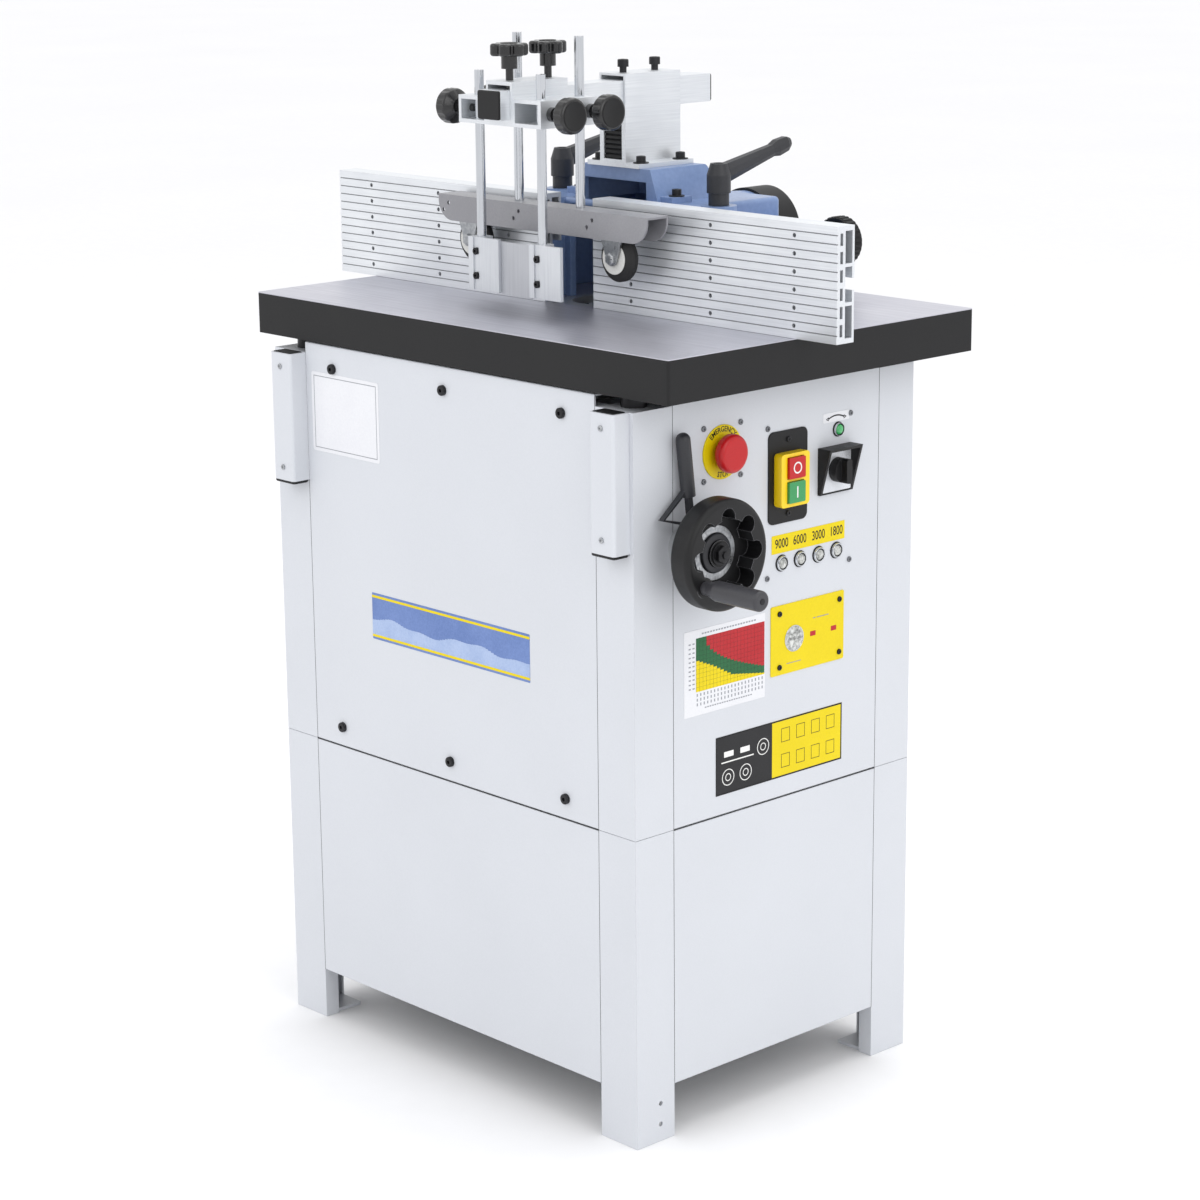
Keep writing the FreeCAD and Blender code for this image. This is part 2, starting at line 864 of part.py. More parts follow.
def motor_housing():
    """Ribbed motor shell with a closed top."""
    axis = Vector(motor_x, motor_y, 0)
    low = along(axis, up, housing_low)
    top = along(low, up, motor_height)
    pieces = [rod(motor_r - motor_rib, low, top)]
    rib_z = (housing_low + rotor_margin, housing_low + motor_height - rotor_margin)
    for index in range(motor_rib_count):
        rib = box((0, motor_r), around(0, motor_rib), rib_z)
        rib.rotate(Vector(), up, index * 360 / motor_rib_count)
        rib.translate(axis)
        pieces.append(rib)
    shell = fused(pieces)
    inner_r = motor_r - motor_rib - motor_wall
    return shell.cut(rod(inner_r, along(low, up, -overrun), along(top, up, -motor_wall)))


def motor_rotor():
    """Rotor core on its shaft."""
    axis = Vector(motor_x, motor_y, 0)
    core_z = (housing_low + rotor_margin, housing_low + motor_height - rotor_margin)
    top = housing_low + motor_height - motor_wall - seat_gap
    core = rod(rotor_r, along(axis, up, core_z[0]), along(axis, up, core_z[1]))
    return fused([core, rod(motor_shaft_r, along(axis, up, pulley_low), along(axis, up, top))])


def step_pulley(place, radii, bore_r):
    """Stepped pulley with a flange lip above and below each step."""
    profile = [(bore_r + fit_gap, pulley_top)]
    height = pulley_top
    lip = (step_height - belt_width) / 4
    for radius in radii:
        profile += [(radius + belt_thickness / 2, height), (radius + belt_thickness / 2, height - lip)]
        profile += [(radius, height - lip), (radius, height - step_height + lip)]
        height -= step_height
        profile += [(radius + belt_thickness / 2, height + lip), (radius + belt_thickness / 2, height)]
    profile.append((bore_r + fit_gap, height))
    return turned(profile, place, up)


def spindle_radii():
    """Radii of the spindle pulley's steps."""
    return [share * pulley_sum for share in spindle_step_shares]


def motor_radii():
    """Radii of the motor pulley's steps."""
    return [pulley_sum - radius for radius in spindle_radii()]


def spindle_pulley():
    """Stepped pulley on the spindle."""
    return step_pulley(Vector(spindle_x, spindle_y, 0), spindle_radii(), pulley_bore_r)


def motor_pulley():
    """Stepped pulley on the motor shaft."""
    return step_pulley(Vector(motor_x, motor_y, 0), motor_radii(), motor_shaft_r)


def drive_belt():
    """Belt round one pair of steps."""
    middle = pulley_top - (belt_step + 0.5) * step_height
    z = around(middle, belt_width)
    motor = Vector(motor_x, motor_y, 0)
    spindle = Vector(spindle_x, spindle_y, 0)
    inner_m = motor_radii()[belt_step] + seat_gap
    inner_s = spindle_radii()[belt_step] + seat_gap
    outer = two_circle_band(motor, inner_m + belt_thickness, spindle, inner_s + belt_thickness, z)
    cutter = two_circle_band(motor, inner_m, spindle, inner_s, (z[0] - overrun, z[1] + overrun))
    return outer.cut(cutter)


def spindle_shaft():
    """Spindle with arbor, shoulder, bearing journal and pulley seat."""
    profile = [
        (0, arbor_top), (arbor_r, arbor_top), (arbor_r, shoulder_top), (shoulder_r, shoulder_top),
        (shoulder_r, shoulder_top - shoulder_height), (journal_r, shoulder_top - shoulder_height),
        (journal_r, pulley_top), (pulley_bore_r, pulley_top), (pulley_bore_r, pulley_low), (0, pulley_low),
    ]
    return turned(profile, Vector(spindle_x, spindle_y, 0), up)


def spindle_rings():
    """Spacer rings and the nut on the arbor."""
    axis = Vector(spindle_x, spindle_y, 0)
    nut_low = arbor_top - nut_drop - nut_height
    room = nut_low - shoulder_top
    pieces = []
    height = shoulder_top
    for share in spacer_ring_shares:
        low = along(axis, up, height)
        pieces.append(tube(spacer_ring_r, arbor_r + fit_gap, low, along(low, up, room * share)))
        height += room * share
    angles = [math.radians(60 * index) for index in range(6)]
    outline = [(spindle_x + nut_r * math.cos(a), spindle_y + nut_r * math.sin(a)) for a in angles]
    nut = prism_z(outline, (nut_low, nut_low + nut_height))
    seat = along(axis, up, nut_low)
    pieces.append(nut.cut(bore(arbor_r + fit_gap, seat, along(seat, up, nut_height))))
    return Part.makeCompound(pieces)


def handwheel():
    """Dished wheel with a lobed pocket in its face."""
    start = Vector(wheel_back, wheel_y, wheel_z)
    wheel = rim_rounded(rod(wheel_r, start, along(start, right, wheel_depth)), wheel_r, wheel_edge_r)
    floor = along(start, right, wheel_depth - wheel_pocket_depth)
    end = along(start, right, wheel_depth + overrun)
    cutters = [rod(wheel_pocket_r, floor, end)]
    for index in range(wheel_lobe_count):
        angle = 2 * math.pi * index / wheel_lobe_count
        offset = Vector(0, math.cos(angle), math.sin(angle)) * wheel_lobe_circle
        cutters.append(rod(wheel_lobe_r, floor + offset, end + offset))
    wheel = wheel.cut(fused(cutters))
    wheel = fused([wheel, rod(wheel_hub_r, floor, along(floor, right, wheel_hub_height))])
    grip = start + Vector(0, grip_turn_y, grip_turn_z)
    boss_end = along(grip, right, wheel_depth)
    wheel = fused([wheel, rod(grip_r, grip, boss_end)])
    wheel = wheel.cut(bore(pin_r + fit_gap, grip, boss_end))
    return wheel.cut(bore(wheel_shaft_r + fit_gap, start, along(floor, right, wheel_hub_height)))


def wheel_grip():
    """Revolving grip with its pin in the wheel."""
    start = Vector(wheel_back + wheel_depth + seat_gap, wheel_y + grip_turn_y, wheel_z + grip_turn_z)
    profile = [
        (0, -wheel_depth), (pin_r, -wheel_depth), (pin_r, 0), (grip_neck_r, 0), (grip_neck_r, grip_neck),
        (grip_r, grip_neck * 3), (grip_r, grip_length), (0, grip_length),
    ]
    return rim_rounded(turned(profile, start, right), grip_r, grip_neck_r / 2)


def bevel_gear(axis, tooth_turn):
    """Bevel gear whose pitch cone points at the origin from along its axis, pitch angle 45 degrees."""
    inner_r = gear_pitch_r - gear_face
    root = tooth_height / 2
    body = turned([
        (0, gear_pitch_r + gear_back), (gear_pitch_r - root, gear_pitch_r + gear_back),
        (gear_pitch_r - root, gear_pitch_r + root), (inner_r - root, inner_r + root), (0, inner_r + root),
    ], Vector(), up)
    pieces = [body]
    step = 2 * math.pi / gear_teeth
    for index in range(gear_teeth):
        turn = index * step + tooth_turn
        ends = []
        for radius in (gear_pitch_r, inner_r):
            half = radius * step * tooth_share / 2
            tip = radius + root - tooth_clear
            deep = radius - tooth_height
            corner = [(deep, -half), (tip, -half * tooth_share), (tip, half * tooth_share), (deep, half)]
            points = []
            for r, w in corner:
                height = 2 * radius - r
                points.append(Vector(r * math.cos(turn) - w * math.sin(turn),
                                     r * math.sin(turn) + w * math.cos(turn), height))
            ends.append(Part.makePolygon(points + points[:1]))
        pieces.append(Part.makeLoft(ends, True, True))
    gear = fused(pieces)
    gear.Placement = FreeCAD.Placement(gear_apex, FreeCAD.Rotation(up, axis))
    return gear


def wheel_shaft():
    """Handwheel shaft and its bevel pinion."""
    start = Vector(lift_x + gear_pitch_r - gear_face, wheel_y, wheel_z)
    floor = wheel_back + wheel_depth - wheel_pocket_depth + wheel_hub_height
    shaft = rod(wheel_shaft_r, start, Vector(floor, wheel_y, wheel_z))
    pinion = bevel_gear(right, 0).cut(bore(wheel_shaft_r + fit_gap, start, Vector(floor, wheel_y, wheel_z)))
    return Part.makeCompound([shaft, pinion])


def lift_screw():
    """Upright lift screw and its bevel gear."""
    shelf_low = wheel_z - gear_pitch_r - gear_back - seat_gap - lift_plate
    top = plate_under
    low_neck = wheel_z - gear_pitch_r - gear_back - seat_gap
    high_neck = plate_under - lift_plate - seat_gap
    profile = [
        (0, shelf_low), (lift_journal_r, shelf_low), (lift_journal_r, wheel_z - gear_pitch_r + gear_face),
        (lift_screw_r, wheel_z - gear_pitch_r + gear_face), (lift_screw_r, high_neck),
        (lift_journal_r, high_neck), (lift_journal_r, top - seat_gap), (0, top - seat_gap),
    ]
    screw = turned(profile, Vector(lift_x, wheel_y, 0), up)
    gear = bevel_gear(up * -1, math.pi / gear_teeth)
    seat = Vector(lift_x, wheel_y, low_neck)
    gear = gear.cut(bore(lift_journal_r + fit_gap, seat, Vector(lift_x, wheel_y, wheel_z)))
    return Part.makeCompound([screw, gear])


def lock_lever():
    """Lock lever on the bush: ring, flat bar, grip and bent strap."""
    low = half_width + bush_flange + seat_gap
    high = low + lever_bar
    centre = Vector(low, wheel_y, wheel_z)
    ring = tube(lever_ring_r, bush_r + fit_gap, centre, along(centre, right, lever_bar))
    bar_end = wheel_z + lever_length
    middle = (low + high) / 2
    bar_z = (wheel_z + bush_r + lever_bar / 2, bar_end)
    bar = box(around(middle, lever_neck), around(wheel_y, lever_neck), bar_z)
    grip_low = Vector(middle, wheel_y, bar_end - lever_grip_r)
    grip_high = along(grip_low, up, lever_grip_length)
    grip = fused([rod(lever_grip_r, grip_low, grip_high), Part.makeSphere(lever_grip_r, grip_high)])
    tip_y = wheel_y - strap_reach
    tip_z = wheel_z + strap_rise + strap_width
    bend = strap_sheet * 2
    strap = [
        (wheel_y, bar_end), (tip_y, tip_z), (wheel_y, wheel_z + strap_low),
        (wheel_y, wheel_z + strap_low - bend), (tip_y - bend, tip_z), (wheel_y, bar_end + bend),
    ]
    strip = prism_x(strap, around(middle, strap_width))
    lever = fused([ring, bar, grip, strip])
    lever.rotate(centre, right, lever_lean)
    return lever


def estop_head_piece():
    """Mushroom head of the emergency stop on its stem."""
    crown = estop_neck + estop_head
    profile = [
        (0, -estop_tail), (estop_stem_r, -estop_tail), (estop_stem_r, estop_neck), (estop_head_r, estop_neck),
        (estop_head_r, crown), (0, crown),
    ]
    head = turned(profile, Vector(half_width, estop_y, estop_z), right)
    return rim_rounded(head, estop_head_r, estop_crown)


def button_range(index, gap):
    """Y and z ranges of a push button, stop above start."""
    middle = switch_z + (0.5 - index) * button_pitch
    return around(switch_y, button_width + 2 * gap), around(middle, button_height + 2 * gap)


def switch_housing():
    """Housing with a pocket for each push button."""
    depth = (half_width, half_width + switch_depth)
    shell = box(depth, around(switch_y, switch_width), around(switch_z, switch_height))
    shell = softened(shell, switch_corner_r, right)
    for index in range(2):
        y, z = button_range(index, button_gap)
        shell = shell.cut(box((half_width + button_floor, half_width + switch_depth + overrun), y, z))
    return shell


def push_button(index):
    """Cap of a push button in its pocket."""
    y, z = button_range(index, 0)
    low = half_width + button_floor + button_travel + button_gap
    cap = box((low, half_width + switch_depth + button_proud), y, z)
    return softened(cap, button_proud / 2, right)


def stop_button():
    """Stop button, the upper one."""
    return push_button(0)


def start_button():
    """Start button, the lower one."""
    return push_button(1)


def selector_frame():
    """Square frame whose side walls deepen to a hood at the top."""
    y = around(selector_y, selector_side)
    z = around(selector_z, selector_side)
    slope = [
        (half_width, z[0]), (half_width + selector_base, z[0]),
        (half_width + selector_hood, z[1]), (half_width, z[1]),
    ]
    frame = prism_y(slope, y)
    room = box(
        (half_width + selector_base, half_width + selector_hood + overrun),
        (y[0] + selector_wall, y[1] - selector_wall), (z[0] - overrun, z[1] - selector_wall),
    )
    frame = frame.cut(room)
    stem = Vector(half_width, selector_y, selector_z)
    return frame.cut(bore(selector_stem_r + fit_gap, stem, along(stem, right, selector_base)))


def selector_knob():
    """Selector knob with a finger wing and its stem."""
    start = Vector(half_width + selector_base + seat_gap, selector_y, selector_z)
    disc = rod(selector_knob_r, start, along(start, right, selector_knob_height))
    wing_x = (start.x, start.x + selector_knob_height + selector_wing)
    wing = box(wing_x, around(selector_y, selector_wing_width), around(selector_z, selector_knob_r * 2))
    wing = softened(wing, selector_wing_width / 3, right)
    stem = rod(selector_stem_r, along(start, right, -selector_hood), start)
    return fused([disc, wing, stem])


def fence_plate(x, front):
    """Ribbed extrusion: grooved face, six small hollows, two chambers and a T slot at the back."""
    spot = fence_hole_pitch
    first = fence_low + (fence_height - spot * (fence_hole_rows - 1)) / 2
    rows = [first + spot * index for index in range(fence_hole_rows)]
    outline = [(front, fence_low)]
    for row in rows:
        for groove in (row - spot / 4, row + spot / 4):
            low, high = around(groove, groove_width)
            deep = front + groove_depth
            outline += [(front, low), (deep, low), (deep, high), (front, high)]
    high = fence_low + fence_height
    outline += [(front, high), (front + fence_depth, high), (front + fence_depth, fence_low)]
    plate = prism_x(outline, x)
    past = (x[0] - overrun, x[1] + overrun)
    inner = (front + fence_slab, front + fence_depth - fence_wall)
    low_room = fence_low + chamber_edge
    high_room = high - chamber_edge
    cutters = [
        box(past, inner, (low_room, low_room + chamber_height)),
        box(past, inner, (high_room - chamber_height, high_room)),
        box(past, inner, around(fence_mid, slot_cavity)),
        box(past, (inner[0], front + fence_depth + overrun), around(fence_mid, slot_mouth)),
    ]
    hollow_y = (front + channel_cover, front + channel_cover + channel_depth)
    for row in rows:
        cutters.append(box(past, hollow_y, around(row, channel_height)))
    middle = (x[0] + x[1]) / 2
    for column in range(fence_columns):
        place_x = middle + (column - (fence_columns - 1) / 2) * fence_column_pitch
        for row in rows:
            start = Vector(place_x, front - overrun, row)
            cutters.append(rod(fence_hole_r, start, Vector(place_x, hollow_y[0] + overrun, row)))
    return plate.cut(Part.makeCompound(cutters))


def left_fence():
    """Outfeed plate."""
    return fence_plate((left_fence_end - fence_length, left_fence_end), left_fence_front)


def right_fence():
    """Infeed plate."""
    return fence_plate((right_fence_end, right_fence_end + fence_length), right_fence_front)


def slot_rail(x, plate_front, seat):
    """T rail in a fence plate's slot, from its head to a seat face."""
    plate_back = plate_front + fence_depth
    head_back = plate_back - fence_wall - seat_gap
    head = box(x, (head_back - rail_head_thickness, head_back), around(fence_mid, rail_head))
    stem = box(x, (head_back - overrun, seat), around(fence_mid, slot_mouth - 2 * seat_gap))
    return fused([head, stem])


def outfeed_rail():
    """Rail that holds the left plate to the hood."""
    start = spindle_x - hood_half_width
    return slot_rail((start, start + rail_length), left_fence_front, left_fence_back + seat_gap)


def infeed_carrier():
    """Plate behind the right fence with its T rail and guide bar."""
    x = (infeed_x - carrier_reach, infeed_x + carrier_side)
    z = around(fence_mid, carrier_height)
    plate = box(x, (carrier_front, carrier_back), z)
    axis = Vector(infeed_x, carrier_front, table_height + infeed_z)
    end = Vector(infeed_x, infeed_bar_end, table_height + infeed_z)
    rail = slot_rail((x[0], x[0] + rail_length), right_fence_front, carrier_front + overrun)
    solid = fused([plate, rod(infeed_bar_r, axis, end), rail])
    deep = along(end, back, -infeed_bore_depth)
    return solid.cut(rod(infeed_screw_r + seat_gap, deep, along(end, back, overrun)))


def infeed_knob():
    """Knurled knob on the adjusting screw of the right plate."""
    axis_z = table_height + infeed_z
    face = guide_block_back + seat_gap
    profile = [
        (0, 0), (infeed_knob_neck_r, 0), (infeed_knob_neck_r, infeed_knob_neck),
        (infeed_knob_r - knurl_r, infeed_knob_neck), (infeed_knob_r, infeed_knob_neck + knurl_r),
        (infeed_knob_r, infeed_knob_neck + infeed_knob_height - knurl_r),
        (infeed_knob_r - knurl_r, infeed_knob_neck + infeed_knob_height),
        (0, infeed_knob_neck + infeed_knob_height),
    ]
    start = Vector(infeed_x, face, axis_z)
    knob = turned(profile, start, back)
    cutters = []
    for index in range(knurl_count):
        angle = 2 * math.pi * index / knurl_count
        offset = Vector(math.cos(angle), 0, math.sin(angle)) * infeed_knob_r
        low = along(start, back, infeed_knob_neck) + offset
        cutters.append(bore(knurl_r, low, along(low, back, infeed_knob_height)))
    knob = knob.cut(Part.makeCompound(cutters))
    screw = rod(infeed_screw_r, along(start, back, -infeed_screw_length), start)
    return fused([knob, screw])


def cap_loft(base_half, top_half, y_base, y_top, z):
    """Tapered block of the hood's cap."""
    wires = []
    for half, y, height in ((base_half, y_base, z[0]), (top_half, y_top, z[1])):
        points = [
            Vector(spindle_x - half, y[0], height), Vector(spindle_x + half, y[0], height),
            Vector(spindle_x + half, y[1], height), Vector(spindle_x - half, y[1], height),
        ]
        wires.append(Part.makePolygon(points + points[:1]))
    return Part.makeLoft(wires, True, True)


def hood():
    """Cast hood: deck body, tapered cap, front pad, lever bosses, infeed guide block and dust chute."""
    x = around(spindle_x, hood_half_width * 2)
    cap_z = table_height + cap_top
    body = box(x, (hood_front, hood_back), (fence_low, deck_z))
    body = softened(body, hood_edge_r, up)
    body = softened(body, hood_edge_r, back, lambda p: p.z > deck_z - seat_gap)
    cap = cap_loft(
        cap_base_half, cap_top_half, (cap_front, cap_base_back), (cap_front, cap_top_back), (deck_z, cap_z),
    )
    cap = softened(cap, hood_edge_r, right, lambda p: p.y > cap_top_back - seat_gap and p.z > cap_z - seat_gap)
    pad_y = (left_fence_back + seat_gap, hood_front + hood_wall)
    pad = box((x[0], x[0] + hood_pad_width), pad_y, (fence_low, deck_z))
    pieces = [body, cap, softened(pad, hood_edge_r, up, lambda p: p.y < hood_front)]
    for side in (-1, 1):
        place = Vector(spindle_x + side * boss_spread, lever_y, fence_low)
        pieces.append(rod(lever_boss_r, place, along(place, up, deck_z - fence_low)))
        ear_x = sorted((side * (cap_base_half - cap_wall), side * (cap_base_half + cap_ear_width)))
        ear = box(
            (spindle_x + ear_x[0], spindle_x + ear_x[1]), around(cap_ear_y, cap_ear_length),
            (deck_z - overrun, deck_z + cap_ear_height),
        )
        pieces.append(ear)
    axis_z = table_height + infeed_z
    pieces.append(box(
        (x[1] - hood_wall, infeed_x + guide_block_half), (guide_block_front, guide_block_back),
        around(axis_z, guide_block_half * 2),
    ))
    port_axis = Vector(spindle_x, hood_back - hood_wall, table_height + port_z)
    chute_run = chute_length + hood_wall
    pieces.append(Part.makeCone(chute_root_r, chute_end_r, chute_run, port_axis, back))
    solid = fused(pieces)
    room = box((x[0] + hood_wall, x[1] - hood_wall), (hood_front + hood_wall, hood_back - hood_wall),
               (fence_low - overrun, deck_z - hood_roof))
    mouth = box((spindle_x - hood_mouth_left, spindle_x + hood_mouth_right),
                (left_fence_back, hood_front + hood_wall + overrun), (fence_low - overrun, deck_z - hood_roof))
    cap_room = cap_loft(
        cap_base_half - cap_wall, cap_top_half - cap_wall, (cap_front + cap_wall, cap_base_back - cap_wall),
        (cap_front + cap_wall, cap_top_back - cap_wall), (deck_z - hood_roof - overrun, cap_z - cap_wall),
    )
    cap_mouth_y = (hood_front + hood_wall, cap_front + cap_wall + overrun)
    cap_mouth = box(around(spindle_x, cap_mouth_half * 2), cap_mouth_y,
                    (deck_z - hood_roof - overrun, cap_z - cap_lip))
    solid = solid.cut(fused([room, mouth, cap_room, cap_mouth]))
    end = along(port_axis, back, chute_run)
    solid = solid.cut(bore(port_r - port_wall * 2, port_axis, end))
    for side in (-1, 1):
        place = Vector(spindle_x + side * boss_spread, lever_y, fence_low)
        solid = solid.cut(bore(stud_r + fit_gap, place, along(place, up, deck_z - fence_low)))
    bar_start = Vector(infeed_x, guide_block_front, axis_z)
    bar_end = Vector(infeed_x, guide_block_back - guide_end_wall, axis_z)
    solid = solid.cut(rod(infeed_bar_r + fit_gap, along(bar_start, back, -overrun), bar_end))
    return solid.cut(bore(infeed_screw_r + fit_gap, bar_end, along(bar_end, back, guide_end_wall)))


def dust_port():
    """Round hose spigot with a collar, at the back of the hood."""
    start = Vector(spindle_x, chute_end, table_height + port_z)
    inner = port_r - port_wall
    profile = [
        (inner, 0), (port_r, 0), (port_r, port_length), (inner, port_length),
    ]
    return turned(profile, start, back)


def clamp_lever(side):
    """Ratchet lever with its stud and the nut under the table."""
    place = Vector(spindle_x + side * boss_spread, lever_y, deck_z + seat_gap)
    body_top = hub_low + hub_body
    profile = [
        (0, 0), (hub_low_r, 0), (hub_low_r, hub_low), (hub_r, hub_low), (hub_r, body_top),
        (hub_top_r, body_top + hub_cone), (0, body_top + hub_cone),
    ]
    hub_top = along(place, up, body_top + hub_cone)
    arm_start = along(place, up, lever_arm_start)
    run = back * lever_arm + up * (lever_arm_end - lever_arm_start)
    sections = [
        lever_section(arm_start + run * share, run, lever_arm_width * width, lever_arm_height * height)
        for share, width, height in lever_section_shares
    ]
    handle = fused([turned(profile, place, up), Part.makeLoft(sections, True, True)])
    handle = handle.cut(rod(hub_recess_r, along(hub_top, up, -hub_recess), along(hub_top, up, hub_recess)))
    end = Vector(place.x, place.y, plate_under - seat_gap - stud_nut_height)
    nut = box(around(place.x, stud_nut), around(place.y, stud_nut), (end.z, end.z + stud_nut_height))
    return fused([handle, rod(stud_r, end, place), nut])


def lever_section(centre, run, width, height):
    """Bevelled rectangle square to the lever arm's run."""
    rise = right.cross(run).normalize()
    bevel = height * lever_bevel_share
    flat_x = width / 2 - bevel / 2
    flat_z = height / 2 - bevel
    corner = [
        (width / 2, -flat_z), (width / 2, flat_z), (flat_x, height / 2), (-flat_x, height / 2),
        (-width / 2, flat_z), (-width / 2, -flat_z), (-flat_x, -height / 2), (flat_x, -height / 2),
    ]
    points = [centre + right * x + rise * z for x, z in corner]
    return Part.makePolygon(points + points[:1])


def left_lever():
    """Clamp lever on the left boss."""
    return clamp_lever(-1)


def right_lever():
    """Clamp lever on the right boss."""
    return clamp_lever(1)


def guard_post():
    """Post extrusion: foot flange, lower room and the arm tunnel with its clamp slit."""
    low = table_height + cap_top
    high = table_height + post_top
    flange = low + post_flange
    outline = [
        (-post_flange_half, low), (post_flange_half, low), (post_flange_half, flange), (post_half, flange),
        (post_half, high), (-post_half, high), (-post_half, flange), (-post_flange_half, flange),
    ]
    post = prism_y([(spindle_x + x, z) for x, z in outline], (post_front, post_back))
    past = (post_front - overrun, post_back + overrun)
    room = box(around(spindle_x, 2 * (post_half - post_wall_side)), past,
               (flange + post_wall_side / 2, table_height + post_room_top))
    return post.cut(room).cut(arm_tunnel(past))


def post_insert():
    """Ribbed block that fills the front of the post's lower room."""
    low = table_height + cap_top + post_flange + post_wall_side / 2 + fit_gap
    high = table_height + post_room_top - fit_gap
    front = post_front + insert_set_back
    pitch = (high - low) / insert_rib_count
    outline = [(front + insert_depth, high), (front + insert_depth, low)]
    for index in range(insert_rib_count):
        foot = low + index * pitch
        outline += [(front + insert_rib, foot), (front, foot + pitch / 4), (front, foot + pitch * 3 / 4)]
    outline.append((front + insert_rib, high))
    half = post_half - post_wall_side - fit_gap
    return prism_x(outline, around(spindle_x, 2 * half))


def arm_tunnel(y):
    """Cutter for a tunnel round the arm with room for the clamp above it."""
    low = arm_mid - arm_height / 2 - arm_fit
    high = arm_mid + arm_height / 2 + clamp_slit
    return box(around(spindle_x, arm_width + 2 * arm_fit), y, (low, high))


def guard_arm():
    """Square arm tube."""
    y = (arm_front, arm_back)
    outer = box(around(spindle_x, arm_width), y, around(arm_mid, arm_height))
    inner = box(around(spindle_x, arm_width - 2 * arm_wall), (y[0] - overrun, y[1] + overrun),
                around(arm_mid, arm_height - 2 * arm_wall))
    return outer.cut(inner)


def carriage():
    """Carriage extrusion: arm tunnel in the middle, a rod chamber on each side."""
    low = table_height + carriage_low
    side_top = table_height + carriage_side_top
    high = table_height + carriage_top
    outline = [
        (-carriage_half, low), (carriage_half, low), (carriage_half, side_top), (post_half, side_top),
        (post_half, high), (-post_half, high), (-post_half, side_top), (-carriage_half, side_top),
    ]
    y = (carriage_front, carriage_back)
    past = (y[0] - overrun, y[1] + overrun)
    solid = prism_y([(spindle_x + x, z) for x, z in outline], y).cut(arm_tunnel(past))
    knob_z = (low + side_top) / 2
    for side in (-1, 1):
        x = sorted((side * (post_half + carriage_wall), side * (carriage_half - carriage_wall)))
        room = box((spindle_x + x[0], spindle_x + x[1]), past, (low + carriage_wall, side_top - carriage_wall))
        solid = solid.cut(room)
        for rod_y in (front_rod_y, rear_rod_y):
            place = Vector(spindle_x + side * rod_spread, rod_y, low)
            solid = solid.cut(bore(rod_r + fit_gap, place, along(place, up, side_top - low)))
            wall = Vector(spindle_x + side * (carriage_half - carriage_wall), rod_y, knob_z)
            solid = solid.cut(bore(knob_stud_r + fit_gap, wall, along(wall, right * side, carriage_wall)))
    for rod_y in (front_rod_y, rear_rod_y):
        roof = Vector(spindle_x, rod_y, arm_mid + arm_height / 2)
        solid = solid.cut(bore(knob_stud_r + fit_gap, roof, along(roof, up, high - roof.z)))
    return solid


def front_rods():
    """Two rods that carry the shoes."""
    rods = []
    for x in rod_places:
        low = Vector(x, front_rod_y, table_height + front_rod_low)
        rods.append(rod(rod_r, low, Vector(x, front_rod_y, table_height + front_rod_top)))
    return Part.makeCompound(rods)


def rear_rods():
    """Two rods that carry the pressure channel."""
    rods = []
    for x in rod_places:
        low = Vector(x, rear_rod_y, table_height + channel_top)
        rods.append(rod(rod_r, low, Vector(x, rear_rod_y, table_height + rear_rod_top)))
    return Part.makeCompound(rods)


def guard_shoes():
    """Two extruded shoes on the front rods and the shield plate between them."""
    front = front_rod_y - shoe_face
    z = (table_height + shoe_low, table_height + shoe_top)
    wing_back = front + shoe_wing_sheet
    pieces = []
    for x in rod_places:
        groove = shoe_groove / 2
        deep = front + shoe_groove_depth
        outline = [
            (x - shoe_left, front), (x - groove, front), (x - groove, deep), (x + groove, deep),
            (x + groove, front), (x + shoe_right + shoe_wing, front), (x + shoe_right + shoe_wing, wing_back),
            (x + shoe_right, wing_back), (x + shoe_right, front_rod_y + shoe_face),
            (x - shoe_left, front_rod_y + shoe_face),
        ]
        shoe = prism_z(outline, z)
        start = Vector(x, front_rod_y, table_height + front_rod_low)
        pieces.append(shoe.cut(rod(rod_r + fit_gap, start, Vector(x, front_rod_y, z[1] + overrun))))
    shield_x = (rod_places[0] + shoe_right + shoe_wing - shield_lap, rod_places[1] - shoe_left)
    shield_z = (z[0] - shield_drop, z[1] - shield_drop)
    pieces.append(box(shield_x, (wing_back, wing_back + shield_sheet), shield_z))
    return Part.makeCompound(pieces)


def pressure_channel():
    """Inverted channel with rounded lower ends and paired holes."""
    x = around(spindle_x, channel_length)
    y = around(rear_rod_y, channel_width)
    high = table_height + channel_top
    block = box(x, y, (channel_low, high))
    block = softened(block, channel_end_r, back, lambda p: p.z < channel_low + overrun)
    room = box((x[0] - overrun, x[1] + overrun), (y[0] + channel_sheet, y[1] - channel_sheet),
               (channel_low - overrun, high - channel_sheet))
    channel = block.cut(room)
    for share in channel_hole_shares:
        for step in (0, 1):
            spot = Vector(
                spindle_x + share * channel_length - step * channel_hole_step, y[0],
                high - channel_hole_drop - step * channel_hole_step,
            )
            channel = channel.cut(bore(channel_hole_r, spot, along(spot, back, channel_sheet)))
    return channel


def roller_places():
    """Centres of the left and right rollers."""
    height = table_height + roller_z
    return [
        Vector(spindle_x - roller_left, rear_rod_y, height),
        Vector(spindle_x + roller_right, rear_rod_y, height),
    ]


